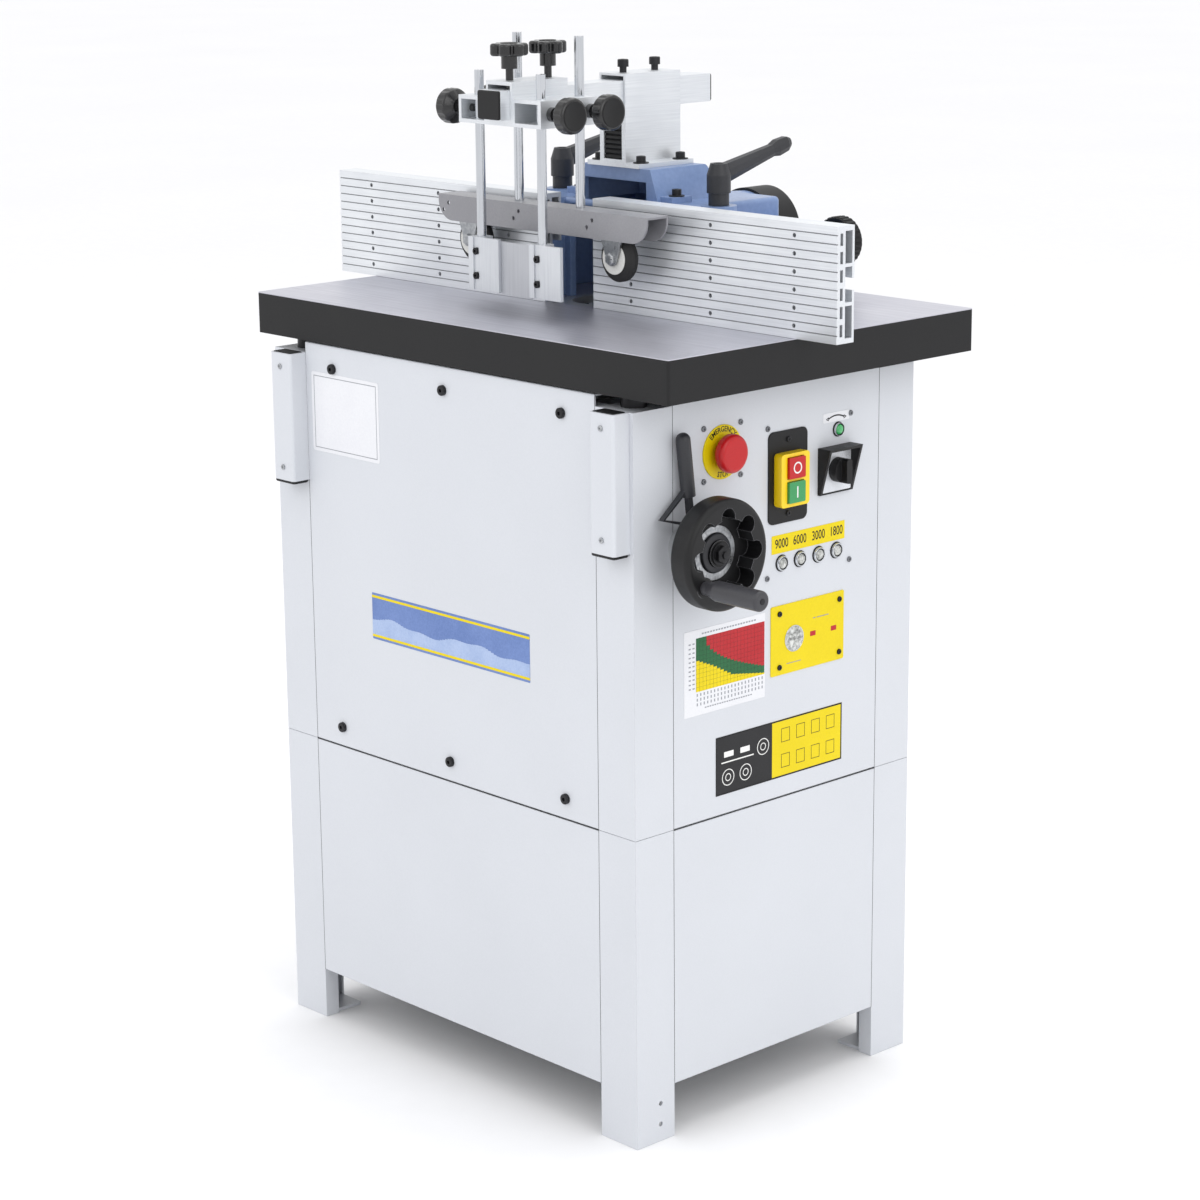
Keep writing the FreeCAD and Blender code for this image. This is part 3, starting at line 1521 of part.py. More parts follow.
def roller_forks():
    """Two forks under the channel, each with its roller pin."""
    roof = table_height + channel_top - channel_sheet
    pieces = []
    for place in roller_places():
        inner = roller_width / 2 + fork_gap
        outer = inner + fork_sheet
        cheek = [
            (place.x - fork_width / 2, roof), (place.x + fork_width / 2, roof),
            (place.x + fork_width / 2, channel_low), (place.x + fork_foot_r, place.z),
            (place.x - fork_foot_r, place.z), (place.x - fork_width / 2, channel_low),
        ]
        pin_ends = (along(place, back, -outer), along(place, back, outer))
        fork = fused([prism_y(cheek, (rear_rod_y - outer, rear_rod_y + outer)), rod(fork_foot_r, *pin_ends)])
        slot_top = roof - fork_sheet
        fork = fork.cut(box(around(place.x, fork_width + 2 * overrun), around(rear_rod_y, 2 * inner),
                            (place.z - 2 * roller_r, slot_top)))
        pin = rod(roller_pin_r, *pin_ends)
        pieces.append(fused([fork, pin]))
    return Part.makeCompound(pieces)


def roller(place):
    """Roller with a rounded tyre, bored for its pin."""
    half = roller_width / 2
    edge = roller_edge_r
    profile = [
        (roller_pin_r + fit_gap, -half), (roller_hub_r, -half), (roller_r - edge, edge - half),
        (roller_r, 2 * edge - half), (roller_r, half - 2 * edge), (roller_r - edge, half - edge),
        (roller_hub_r, half), (roller_pin_r + fit_gap, half),
    ]
    return turned(profile, place, back)


def left_roller():
    """Roller under the channel's left end."""
    return roller(roller_places()[0])


def right_roller():
    """Roller under the channel's right end."""
    return roller(roller_places()[1])


def side_knob(side, rod_y):
    """Round clamp knob whose stud reaches the rod inside the carriage."""
    low = table_height + carriage_low
    height = (low + table_height + carriage_side_top) / 2
    start = Vector(spindle_x + side * (rod_spread + rod_r + seat_gap), rod_y, height)
    wall = carriage_half - rod_spread - rod_r
    collar = wall + knob_free
    disc = collar + knob_neck - seat_gap
    front = disc + knob_disc
    profile = [
        (0, 0), (knob_stud_r, 0), (knob_stud_r, wall), (knob_collar_r, wall), (knob_collar_r, collar),
        (knob_waist_r, collar), (knob_waist_r, disc - knob_cone), (knob_neck_r, disc - knob_cone),
        (knob_r, disc), (knob_r, front), (0, front),
    ]
    axis = right * side
    knob = rim_rounded(turned(profile, start, axis), knob_r, knob_edge_r)
    flutes = []
    for index in range(knob_flute_count):
        angle = 2 * math.pi * index / knob_flute_count
        offset = Vector(0, math.cos(angle), math.sin(angle)) * (knob_r + knob_flute_r - knob_flute_depth)
        flutes.append(bore(knob_flute_r, along(start, axis, disc) + offset, along(start, axis, front) + offset))
    return knob.cut(Part.makeCompound(flutes))


def top_knob(rod_y):
    """Lobed clamp knob whose stud reaches the arm."""
    start = Vector(spindle_x, rod_y, arm_mid + arm_height / 2 + seat_gap)
    face = table_height + carriage_top - start.z + top_knob_free
    disc = face + top_knob_neck
    pieces = [
        rod(knob_stud_r, start, along(start, up, face)),
        rod(knob_neck_r, along(start, up, face), along(start, up, disc)),
    ]
    low = along(start, up, disc)
    head = [rim_rounded(rod(lobe_core_r, low, along(low, up, knob_disc)), lobe_core_r, lobe_edge_r)]
    for index in range(lobe_count):
        angle = 2 * math.pi * index / lobe_count
        offset = Vector(math.cos(angle), math.sin(angle), 0) * lobe_circle
        lobe = rod(lobe_r, low + offset, along(low, up, knob_disc) + offset)
        head.append(rim_rounded(lobe, lobe_r, lobe_edge_r))
    return fused(pieces + head)


def front_left_knob():
    """Clamp knob of the front left rod."""
    return side_knob(-1, front_rod_y)


def front_right_knob():
    """Clamp knob of the front right rod."""
    return side_knob(1, front_rod_y)


def rear_left_knob():
    """Clamp knob of the rear left rod."""
    return side_knob(-1, rear_rod_y)


def rear_right_knob():
    """Clamp knob of the rear right rod."""
    return side_knob(1, rear_rod_y)


def front_top_knob():
    """Front lobed knob."""
    return top_knob(front_rod_y)


def rear_top_knob():
    """Rear lobed knob."""
    return top_knob(rear_rod_y)


NODES = {
    "stand_legs": stand_legs,
    "stand_panels": stand_panels,
    "cabinet_frame": cabinet_frame,
    "front_cover": front_cover,
    "control_panel": control_panel,
    "left_panel": left_panel,
    "rear_panel": rear_panel,
    "front_brackets": front_brackets,
    "table": table,
    "table_spacers": table_spacers,
    "table_ring": table_ring,
    "lift_bracket": lift_bracket,
    "wheel_bush": wheel_bush,
    "switch_housing": switch_housing,
    "selector_frame": selector_frame,
    "spindle_housing": spindle_housing,
    "spindle_bearings": spindle_bearings,
    "motor_plate": motor_plate,
    "motor_housing": motor_housing,
    "drive_belt": drive_belt,
    "spindle_shaft": spindle_shaft,
    "spindle_rings": spindle_rings,
    "spindle_pulley": spindle_pulley,
    "motor_rotor": motor_rotor,
    "motor_pulley": motor_pulley,
    "handwheel": handwheel,
    "wheel_shaft": wheel_shaft,
    "wheel_grip": wheel_grip,
    "lift_screw": lift_screw,
    "lock_lever": lock_lever,
    "estop_head": estop_head_piece,
    "stop_button": stop_button,
    "start_button": start_button,
    "selector_knob": selector_knob,
    "hood": hood,
    "dust_port": dust_port,
    "outfeed_rail": outfeed_rail,
    "left_fence": left_fence,
    "infeed_carrier": infeed_carrier,
    "right_fence": right_fence,
    "infeed_knob": infeed_knob,
    "left_lever": left_lever,
    "right_lever": right_lever,
    "guard_post": guard_post,
    "post_insert": post_insert,
    "guard_arm": guard_arm,
    "carriage": carriage,
    "front_rods": front_rods,
    "guard_shoes": guard_shoes,
    "rear_rods": rear_rods,
    "pressure_channel": pressure_channel,
    "roller_forks": roller_forks,
    "left_roller": left_roller,
    "right_roller": right_roller,
    "front_left_knob": front_left_knob,
    "front_right_knob": front_right_knob,
    "rear_left_knob": rear_left_knob,
    "rear_right_knob": rear_right_knob,
    "front_top_knob": front_top_knob,
    "rear_top_knob": rear_top_knob,
}

os.makedirs("parts", exist_ok=True)
for node, make in NODES.items():
    shape = make()
    shape.exportStep("parts/" + node + ".step")
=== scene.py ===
"""Dresses a spindle moulder: finishes of its pieces, small fittings, studio light and camera."""
import logging
import math
from dataclasses import dataclass
from enum import Enum
from typing import Callable, Optional, Sequence, Union

import bmesh
import bpy
import numpy as np
from mathutils import Euler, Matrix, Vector


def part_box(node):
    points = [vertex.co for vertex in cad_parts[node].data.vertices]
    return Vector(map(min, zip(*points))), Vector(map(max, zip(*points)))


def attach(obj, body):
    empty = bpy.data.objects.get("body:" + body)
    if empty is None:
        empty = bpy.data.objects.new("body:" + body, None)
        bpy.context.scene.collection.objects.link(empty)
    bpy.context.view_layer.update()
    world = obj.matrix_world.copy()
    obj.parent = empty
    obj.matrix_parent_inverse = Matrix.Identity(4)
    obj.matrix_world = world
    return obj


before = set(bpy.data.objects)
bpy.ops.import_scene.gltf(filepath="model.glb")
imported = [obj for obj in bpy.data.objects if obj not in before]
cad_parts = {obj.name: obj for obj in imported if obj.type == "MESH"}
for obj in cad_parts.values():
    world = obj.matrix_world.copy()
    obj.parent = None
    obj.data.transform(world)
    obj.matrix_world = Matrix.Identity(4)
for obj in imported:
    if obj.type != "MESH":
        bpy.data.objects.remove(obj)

log = logging.getLogger("spindle_moulder")
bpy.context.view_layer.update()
MM = 0.001
ROUND_STEPS = 48                     # points round a turned piece
ARC_STEPS = 7                        # points along a rounded corner
SMOOTH_LIMIT = math.radians(34.0)    # sharpest turn that is still shaded smooth
POLE = 0.02                          # share of a disc's radius at which its face closes
LABEL = 0.25                         # thickness of a stuck-on label
FILM_EDGE = 0.05                     # bevel of a label's edge
INK = 0.08                           # thickness of print on a label
FONT_SIZE = 1.4                      # size of a font whose capitals are one high
EDGE_SAMPLES, SKY_SAMPLES = 4, 6     # rays that look for edges, and for the walls of grooves
EDGE_WEAR_AND_HIGHLIGHT = ((0.7, 0.97), 0.7)            # cosines over which edge wear and painted edge highlight fade out, and their largest share
GROOVE_SHADE = ((0.45, 0.8), 0.95)           # open skies over which the painted groove shade fades out, and its largest share
BUMP = 0.5                           # strength of the fine relief
COAT_ROUGHNESS = 0.12
RGBA = {"data_type": "RGBA"}         # settings of a node that mixes colours

LEFT, RIGHT = (-1.0, 0.0, 0.0), (1.0, 0.0, 0.0)
FRONT, BACK = (0.0, -1.0, 0.0), (0.0, 1.0, 0.0)
DOWN, UP = (0.0, 0.0, -1.0), (0.0, 0.0, 1.0)
BOTH = (-1, 1)                       # signs of the two sides of a middle

Place = Sequence[float]
Pair = tuple[float, float]
Triple = tuple[float, float, float]
Area = tuple[float, float, float, float]
Rows = Union[np.ndarray, Sequence[Sequence[float]]]
Outline = Callable[[float], np.ndarray]
Key = Union[int, str]
Tree = bpy.types.NodeTree
Socket = bpy.types.NodeSocket


class Grain(Enum):
    """How a finish is drawn out: the stretch of its fine pattern along x, y and z."""

    EVEN = (1.0, 1.0, 1.0)
    ALONG_X = (0.02, 1.0, 1.0)
    ALONG_Y = (1.0, 0.02, 1.0)
    ALONG_Z = (1.0, 1.0, 0.02)


def linear(colour: str) -> tuple[float, float, float, float]:
    """Turns an sRGB hex colour into linear values.

    Args:
        colour: Six hex digits after a hash sign.

    Returns:
        Red, green, blue and an alpha of one.
    """
    parts = np.array([int(colour[i:i + 2], 16) for i in (1, 3, 5)]) / 255.0
    curve = np.where(parts <= 0.04045, parts / 12.92, ((parts + 0.055) / 1.055) ** 2.4)
    return (*curve.tolist(), 1.0)


def add_node(
    tree: Tree,
    kind: str,
    settings: Optional[dict[str, object]] = None,
    values: Optional[dict[Key, object]] = None,
    links: Optional[dict[Key, Socket]] = None,
) -> bpy.types.Node:
    """Adds a node with its settings, socket values and incoming links.

    Args:
        tree: The material's or world's node tree.
        kind: The node's type name.
        settings: Attributes of the node.
        values: Socket values by socket name or number.
        links: Sockets that feed this node's inputs.

    Returns:
        The new node.
    """
    made = tree.nodes.new(kind)
    for name, value in (settings or {}).items():
        setattr(made, name, value)
    for key, value in (values or {}).items():
        made.inputs[key].default_value = value
    for key, source in (links or {}).items():
        tree.links.new(source, made.inputs[key])
    return made


def tinted(
    tree: Tree, tone: Socket, colour: str, measure: Socket, span: Pair, most: float,
) -> Socket:
    """Mixes a colour in where a measure is low: its share falls from most to none over a span.

    Args:
        tree: The material's node tree.
        tone: Colour so far.
        colour: Colour to mix in.
        measure: What the share is worked out from.
        span: Where the share starts to fall, and where it is gone.
        most: Largest share.

    Returns:
        The mixed colour.
    """
    fall = {"From Min": span[0], "From Max": span[1], "To Min": most, "To Max": 0.0}
    share = add_node(tree, "ShaderNodeMapRange", values=fall, links={"Value": measure}).outputs[0]
    return add_node(
        tree, "ShaderNodeMix", RGBA, {7: linear(colour)}, {0: share, 6: tone},
    ).outputs[2]


@dataclass(frozen=True)
class Finish:
    """A procedural finish: two tones, a fine grain, soft clouds of gloss, relief, edges that are
    worn or carry a painted highlight, and painted shade in grooves.
    """

    name: str  # what the real surface is
    colour: str  # main tone
    second: str  # tone of the grain and clouds
    roughness: float  # middle roughness
    metallic: float = 0.0  # one for bare metal
    grain: Grain = Grain.EVEN  # direction that the fine pattern is drawn out in
    grit_mm: float = 1.5  # size of the fine pattern
    cloud_mm: float = 70.0  # size of the soft clouds
    details: Pair = (3.0, 2.0)  # octaves of the fine pattern and of the clouds
    reach: float = 0.25  # how far their sum swings about one
    relief_mm: float = 0.03  # height of the fine pattern
    spread: float = 0.05  # how far the roughness swings about its middle
    edge: Optional[str] = None  # tone of edges worn by handling, or of a painted highlight on rims, if any
    edge_mm: float = 0.5  # radius that edges are seen with
    groove: Optional[str] = None  # tone of painted shade in narrow grooves, if any
    groove_mm: float = 1.5  # width of the grooves that it darkens
    coat: float = 0.0  # weight of a clear gloss layer
    ior: float = 1.5  # refractive index of what isn't metal
    slot: str = ""  # the record's material slot for fittings made of it

    def material(self) -> bpy.types.Material:
        """Builds the material once and gives it back after that.

        Edge wear, or on some finishes a painted edge highlight, grows as the rounded normal turns
        away from the flat one, and painted shade as the walls round a point shut out more of its
        sky.

        Returns:
            The material.
        """
        found = bpy.data.materials.get(self.name)
        if found:
            return found
        made = bpy.data.materials.new(self.name)
        made.use_nodes = True
        tree = made.node_tree
        tree.nodes.clear()
        place = add_node(tree, "ShaderNodeTexCoord").outputs["Object"]
        grit, tone, gloss = self.pattern(tree, place)
        radius = {"Radius": self.edge_mm * MM}
        soft = add_node(tree, "ShaderNodeBevel", {"samples": EDGE_SAMPLES}, radius).outputs[0]
        # Edge tone: wear on most finishes, a painted highlight on the rims of the wheel and of the
        # knobs.
        if self.edge:
            flat = add_node(tree, "ShaderNodeNewGeometry").outputs["Normal"]
            turn = add_node(
                tree, "ShaderNodeVectorMath", {"operation": "DOT_PRODUCT"},
                links={0: soft, 1: flat},
            ).outputs["Value"]
            tone = tinted(tree, tone, self.edge, turn, *EDGE_WEAR_AND_HIGHLIGHT)
        # Groove tone: painted shade, darker where nearby walls shut out more of a point's sky.
        if self.groove:
            sky = add_node(
                tree, "ShaderNodeAmbientOcclusion", {"samples": SKY_SAMPLES, "only_local": True},
                {"Distance": self.groove_mm * MM},
            ).outputs["AO"]
            tone = tinted(tree, tone, self.groove, sky, *GROOVE_SHADE)
        bump = add_node(
            tree, "ShaderNodeBump", values={"Strength": BUMP, "Distance": self.relief_mm * MM},
            links={"Height": grit, "Normal": soft},
        ).outputs[0]
        shader = add_node(
            tree, "ShaderNodeBsdfPrincipled",
            values={"Metallic": self.metallic, "IOR": self.ior, "Coat Weight": self.coat,
                    "Coat Roughness": COAT_ROUGHNESS},
            links={"Base Color": tone, "Roughness": gloss, "Normal": bump},
        )
        self.complete(tree, place, shader)
        add_node(tree, "ShaderNodeOutputMaterial", links={"Surface": shader.outputs[0]})
        return made

    def pattern(self, tree: Tree, place: Socket) -> tuple[Socket, Socket, Socket]:
        """Mixes the tones, and swings the roughness, by the sum of a fine noise and a soft one.

        Args:
            tree: The material's node tree.
            place: Object coordinates.

        Returns:
            The fine noise, the colour and the roughness.
        """
        drawn = add_node(
            tree, "ShaderNodeMapping", values={"Scale": self.grain.value}, links={"Vector": place},
        ).outputs[0]
        sizes = (self.grit_mm, self.cloud_mm)
        grit, cloud = (
            add_node(
                tree, "ShaderNodeTexNoise", values={"Scale": 1 / (size * MM), "Detail": detail},
                links={"Vector": source},
            ).outputs["Fac"]
            for size, detail, source in zip(sizes, self.details, (drawn, place))
        )
        both = add_node(
            tree, "ShaderNodeMath", {"operation": "ADD"}, links={0: grit, 1: cloud},
        ).outputs[0]
        span = {"From Min": 1 - self.reach, "From Max": 1 + self.reach}
        swing = {"To Min": self.roughness - self.spread, "To Max": self.roughness + self.spread}
        share, gloss = (
            add_node(tree, "ShaderNodeMapRange", values=ends, links={"Value": both}).outputs[0]
            for ends in (span, {**span, **swing})
        )
        tone = add_node(
            tree, "ShaderNodeMix", RGBA,
            {6: linear(self.colour), 7: linear(self.second)}, {0: share},
        ).outputs[2]
        return grit, tone, gloss

    def complete(self, tree: Tree, place: Socket, shader: bpy.types.Node) -> None:
        """Lets a special finish add to the shader; a plain one has nothing to add."""


@dataclass(frozen=True)
class GroundCasting(Finish):
    """A painted casting whose top face is ground bare."""

    # Finish of the bare top, streaked along the feed.
    ground: Finish = Finish(
        "ground_cast_iron", "#CFCFD8", "#BFBFC8", 0.42, metallic=0.9, grain=Grain.ALONG_X,
        grit_mm=2.2, cloud_mm=120, details=(4.0, 5.0), reach=0.3, spread=0.08,
    )
    top_m: float = 0.0  # height of the top face
    bare_mm: float = 0.9  # how far down the rim the grinding reaches

    def complete(self, tree: Tree, place: Socket, shader: bpy.types.Node) -> None:
        """Mixes in the bare metal wherever the height reaches the top face.

        Args:
            tree: The material's node tree.
            place: Object coordinates.
            shader: The principled shader to complete.
        """
        height = add_node(tree, "ShaderNodeSeparateXYZ", links={0: place}).outputs["Z"]
        bare = add_node(
            tree, "ShaderNodeMath", {"operation": "GREATER_THAN"},
            {1: self.top_m - self.bare_mm * MM}, {0: height},
        ).outputs[0]
        _, ground, gloss = self.ground.pattern(tree, place)
        paint, satin = (
            shader.inputs[name].links[0].from_socket for name in ("Base Color", "Roughness")
        )
        tone = add_node(tree, "ShaderNodeMix", RGBA, links={0: bare, 6: paint, 7: ground})
        rough = add_node(tree, "ShaderNodeMix", links={0: bare, 2: satin, 3: gloss})
        metal = add_node(
            tree, "ShaderNodeMath", {"operation": "MULTIPLY"}, {1: self.ground.metallic}, {0: bare},
        )
        tree.links.new(tone.outputs[2], shader.inputs["Base Color"])
        tree.links.new(rough.outputs[0], shader.inputs["Roughness"])
        tree.links.new(metal.outputs[0], shader.inputs["Metallic"])


# Powder-coated sheet steel: pale, satin, with a faint orange peel drawn coarse enough to show.
CABINET = Finish(
    "powder_coated_steel", "#CFD2D7", "#CCCFD4", 0.42, grit_mm=1.6, relief_mm=0.02, cloud_mm=160,
)
# Cast iron with dark paint round the rim and a ground top, streaked along the feed.
TABLE = GroundCasting(
    "painted_and_ground_cast_iron", "#101011", "#161618", 0.55, grit_mm=2.5, relief_mm=0.08,
    edge="#434446", edge_mm=0.8, ior=1.4, top_m=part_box("table")[1][2],
)
# Hammered enamel on a sand casting: blue, lumpy under a clear gloss.
HOOD = Finish(
    "hammered_blue_enamel", "#7A91BA", "#7087B0", 0.36, grit_mm=5.0, relief_mm=0.22, coat=0.2,
    edge="#93AAD2", edge_mm=1.2,
)
# Machined casting: dull grey with tool marks.
IRON = Finish(
    "machined_cast_iron", "#5C5E61", "#47494C", 0.55, metallic=0.6, grit_mm=2.0, relief_mm=0.1,
)
# Turned steel: bright, with fine rings that read as a soft sheen.
STEEL = Finish(
    "turned_steel", "#A9ABAE", "#8E9093", 0.32, metallic=1.0, grit_mm=1.2, relief_mm=0.02,
)
# Zinc-plated pressings: slightly milky and uneven.
ZINC = Finish(
    "zinc_plated_steel", "#B4B6B8", "#9A9DA1", 0.36, metallic=1.0, grit_mm=3.0, cloud_mm=12,
    spread=0.1, slot="turned_steel",
)
# Anodised aluminium extrusions: matt silver with die lines along their length; along x, painted
# shade darkens the narrow grooves.
ALLOY_X = Finish(
    "anodised_extrusion_along_x", "#EAEDF0", "#DEE1E5", 0.4, metallic=0.72, grain=Grain.ALONG_X,
    grit_mm=1.4, relief_mm=0.03, edge="#E6E8EA", edge_mm=0.35, groove="#6E7076",
)
ALLOY_Y = Finish(
    "anodised_extrusion_along_y", "#E6E9EC", "#DADDE1", 0.4, metallic=0.72, grain=Grain.ALONG_Y,
    grit_mm=1.4, relief_mm=0.03, edge="#E6E8EA", edge_mm=0.35,
)
ALLOY_Z = Finish(
    "anodised_extrusion_along_z", "#D6D9DD", "#C9CCD1", 0.4, metallic=0.72, grain=Grain.ALONG_Z,
    grit_mm=1.4, relief_mm=0.03, edge="#E6E8EA", edge_mm=0.35,
)
# Rolled aluminium sheet: greyer than the extrusions, with faint upright roll marks.
SHEET = Finish(
    "rolled_aluminium_sheet", "#BFC1C6", "#B5B7BC", 0.44, metallic=0.7, grain=Grain.ALONG_Z,
    grit_mm=1.8, relief_mm=0.02, slot="alloy",
)
# Die-cast alloy inside the cabinet: grainy grey.
CAST_ALLOY = Finish(
    "die_cast_alloy", "#9DA0A4", "#8A8D91", 0.5, metallic=0.7, grit_mm=1.8, relief_mm=0.08,
)
# Hard chrome on ground rods: mirror bright with faint lines along the rod.
CHROME = Finish(
    "hard_chrome", "#D3D6DA", "#C3C6CB", 0.14, metallic=1.0, grain=Grain.ALONG_Z, relief_mm=0.005,
    slot="rod_steel",
)
# Grey enamel on folded sheet: smooth satin, worn light at the folds.
CHANNEL = Finish(
    "grey_enamel", "#98989C", "#8F8F93", 0.38, metallic=0.25, grit_mm=1.6, relief_mm=0.03,
    edge="#B5B6BA", edge_mm=0.6,
)
# Moulded phenolic: black and glossy, with a painted highlight on its rims.
GLOSS_BLACK = Finish(
    "moulded_phenolic", "#101011", "#161618", 0.24, grit_mm=2.0, relief_mm=0.02, coat=0.3,
    edge="#3A3A3E",
)
# Moulded nylon: black with a fine spark-eroded grain.
MATT_BLACK = Finish(
    "moulded_nylon", "#0F0F10", "#171719", 0.48, grit_mm=0.9, relief_mm=0.05, edge="#3E3E42",
    ior=1.4, slot="black_plastic",
)
# Moulded nylon wheel: black, with a painted highlight along its rims.
WHEEL = Finish(
    "nylon_with_painted_rim_highlight", "#0F0F10", "#171719", 0.44, grit_mm=0.9, relief_mm=0.05, edge="#A5A6AB",
    edge_mm=1.0, ior=1.4,
)
# Moulded nylon worn by the hand: greyer and smoother.
GRIP = Finish(
    "hand_worn_nylon", "#343438", "#3C3C40", 0.4, grit_mm=1.4, relief_mm=0.03, edge="#55565A",
)
# Black satin paint on die castings: slightly grey where hands rub it.
LEVER_PAINT = Finish(
    "black_paint_on_die_casting", "#222327", "#2D2E33", 0.46, grit_mm=1.1, relief_mm=0.06,
    edge="#5E6068", edge_mm=0.8, slot="lever_paint",
)
# Oiled black screws: dark, with a dull metal glint.
BLACK_STEEL = Finish(
    "blackened_steel", "#1D1D1F", "#2A2A2D", 0.4, metallic=0.5, grit_mm=0.8, relief_mm=0.02,
    edge="#55565A", edge_mm=0.3, slot="black_plastic",
)
# Small screws: grey steel, darkened by a painted reflection of the dark of its own socket.
SCREW_STEEL = Finish(
    "steel_with_painted_socket_reflection", "#85878B", "#6A6C70", 0.3, metallic=1.0, grit_mm=0.8, relief_mm=0.02,
    slot="turned_steel",
)
# Moulded ABS in signal colours: clean, even and glossy.
RED = Finish(
    "red_moulded_plastic", "#C2151A", "#B61217", 0.32, grit_mm=1.2, relief_mm=0.015, coat=0.12,
    ior=1.42,
)
GREEN = Finish(
    "green_moulded_plastic", "#2E9A56", "#278B4C", 0.3, grit_mm=1.2, relief_mm=0.015, coat=0.3,
)
YELLOW = Finish(
    "yellow_moulded_plastic", "#FBD60E", "#F4CD08", 0.34, grit_mm=1.2, relief_mm=0.015, coat=0.2,
)
# Lamp lenses: deep glossy caps, one green and the others clear over a pale reflector.
GREEN_LENS = Finish(
    "green_lamp_lens", "#3FB868", "#2FA257", 0.1, grit_mm=3.0, cloud_mm=6, relief_mm=0.1, coat=0.8,
    slot="green_plastic",
)
CLEAR_LENS = Finish(
    "clear_lamp_lens", "#D6D8D4", "#6E706C", 0.1, grit_mm=2.6, cloud_mm=6, relief_mm=0.2, coat=0.8,
    slot="alloy",
)
# Vulcanised rubber: dull black, dusty in its pores.
RUBBER = Finish(
    "vulcanised_rubber", "#1B1B1C", "#262627", 0.75, grit_mm=1.0, relief_mm=0.08,
    slot="black_plastic",
)
# Turned acetal: milky white, soft sheen.
WHITE_HUB = Finish(
    "white_acetal", "#DCDCD8", "#CDCDC8", 0.4, grit_mm=1.5, relief_mm=0.02, slot="cabinet_paint",
)
# Vinyl film: thin, flat and slightly glossy, in the colours of the labels.
WHITE_FILM = Finish(
    "white_vinyl_film", "#E4E5E8", "#DEDFE3", 0.36, grit_mm=2.0, relief_mm=0.008,
    slot="cabinet_paint",
)
YELLOW_FILM = Finish(
    "yellow_vinyl_film", "#E6CF02", "#E0C900", 0.4, grit_mm=2.0, relief_mm=0.008, ior=1.35,
    slot="yellow_plastic",
)
BLACK_FILM = Finish(
    "black_vinyl_film", "#1E1E20", "#262628", 0.4, grit_mm=2.0, relief_mm=0.008, ior=1.35,
    slot="black_plastic",
)
SILVER_FILM = Finish(
    "silver_face_film", "#E2E4E8", "#D2D5DA", 0.3, metallic=0.3, grit_mm=1.0, relief_mm=0.006,
    slot="alloy",
)
RED_FILM = Finish(
    "red_print_on_vinyl", "#BC2A30", "#B0242B", 0.4, grit_mm=1.0, relief_mm=0.006, ior=1.35,
    slot="red_plastic",
)
GREEN_FILM = Finish(
    "green_print_on_vinyl", "#2A6A40", "#255F39", 0.4, grit_mm=1.0, relief_mm=0.006, ior=1.35,
    slot="green_plastic",
)
SKY_FILM = Finish(
    "pale_blue_print_on_vinyl", "#A9BBDC", "#98ADD3", 0.36, grit_mm=2.0, cloud_mm=30,
    relief_mm=0.008, slot="hood_paint",
)
BLUE_FILM = Finish(
    "blue_print_on_vinyl", "#6A84BC", "#5A75AE", 0.36, grit_mm=2.0, cloud_mm=45, relief_mm=0.008,
    slot="hood_paint",
)
GREY_INK = Finish(
    "grey_print", "#9A9DA3", "#8D9096", 0.45, grit_mm=1.0, relief_mm=0.004, slot="black_plastic",
)
BLACK_INK = Finish(
    "black_print", "#141416", "#1C1C1E", 0.45, grit_mm=1.0, relief_mm=0.004, ior=1.35,
    slot="black_plastic",
)
WHITE_INK = Finish(
    "white_print", "#F3F3F0", "#E9E9E6", 0.45, grit_mm=1.0, relief_mm=0.004, slot="cabinet_paint",
)

KNOBS = [f"{row}_{end}_knob" for row in ("front", "rear") for end in ("left", "right", "top")]

NODE_FINISHES: list[tuple[Finish, list[str]]] = [
    (CABINET, ["stand_legs", "stand_panels", "cabinet_frame", "front_cover", "control_panel",
               "left_panel", "rear_panel", "front_brackets"]),
    (TABLE, ["table"]),
    (HOOD, ["hood"]),
    (IRON, ["spindle_housing", "lift_bracket"]),
    (STEEL, ["table_ring", "wheel_bush", "spindle_shaft", "spindle_rings", "spindle_bearings",
             "wheel_shaft", "lift_screw", "motor_plate", "motor_rotor", "outfeed_rail",
             "infeed_carrier"]),
    (ZINC, ["roller_forks"]),
    (ALLOY_X, ["left_fence", "right_fence"]),
    (ALLOY_Y, ["guard_post", "guard_arm", "carriage"]),
    (ALLOY_Z, ["guard_shoes"]),
    (CAST_ALLOY, ["motor_housing", "motor_pulley", "spindle_pulley"]),
    (CHROME, ["front_rods", "rear_rods"]),
    (CHANNEL, ["pressure_channel"]),
    (BLACK_STEEL, ["table_spacers"]),
    (GLOSS_BLACK, KNOBS),
    (GRIP, ["wheel_grip"]),
    (WHEEL, ["handwheel"]),
    (MATT_BLACK, ["dust_port", "infeed_knob", "selector_frame", "selector_knob", "post_insert"]),
    (LEVER_PAINT, ["left_lever", "right_lever", "lock_lever"]),
    (RED, ["estop_head", "stop_button"]),
    (GREEN, ["start_button"]),
    (YELLOW, ["switch_housing"]),
    (RUBBER, ["drive_belt", "left_roller", "right_roller"]),
]


@dataclass
class Patch:
    """A surface before it is a mesh."""

    points: np.ndarray  # places in millimetres, one row each
    faces: list[list[int]]  # rows of point numbers


def corners(node: str) -> tuple[np.ndarray, np.ndarray]:
    """Gives a node's lowest and highest corner at rest, in millimetres."""
    low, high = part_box(node)
    return np.array(low) / MM, np.array(high) / MM


def side(node: str, facing: Place) -> np.ndarray:
    """Gives the middle of the side of a node's box that looks in a direction, in millimetres."""
    low, high = corners(node)
    return (low + high) / 2 + np.array(facing) * (high - low) / 2


def directions(facing: Place) -> np.ndarray:
    """Gives the across, up and out directions of a face, so that words on it stand upright.

    Args:
        facing: Direction that the face looks in.

    Returns:
        Three rows: up is +Z, or +Y on a level face; across is up crossed with out.
    """
    out = np.array(facing)
    rise = np.array(BACK if facing in (UP, DOWN) else UP)
    return np.stack([np.cross(rise, out), rise, out])


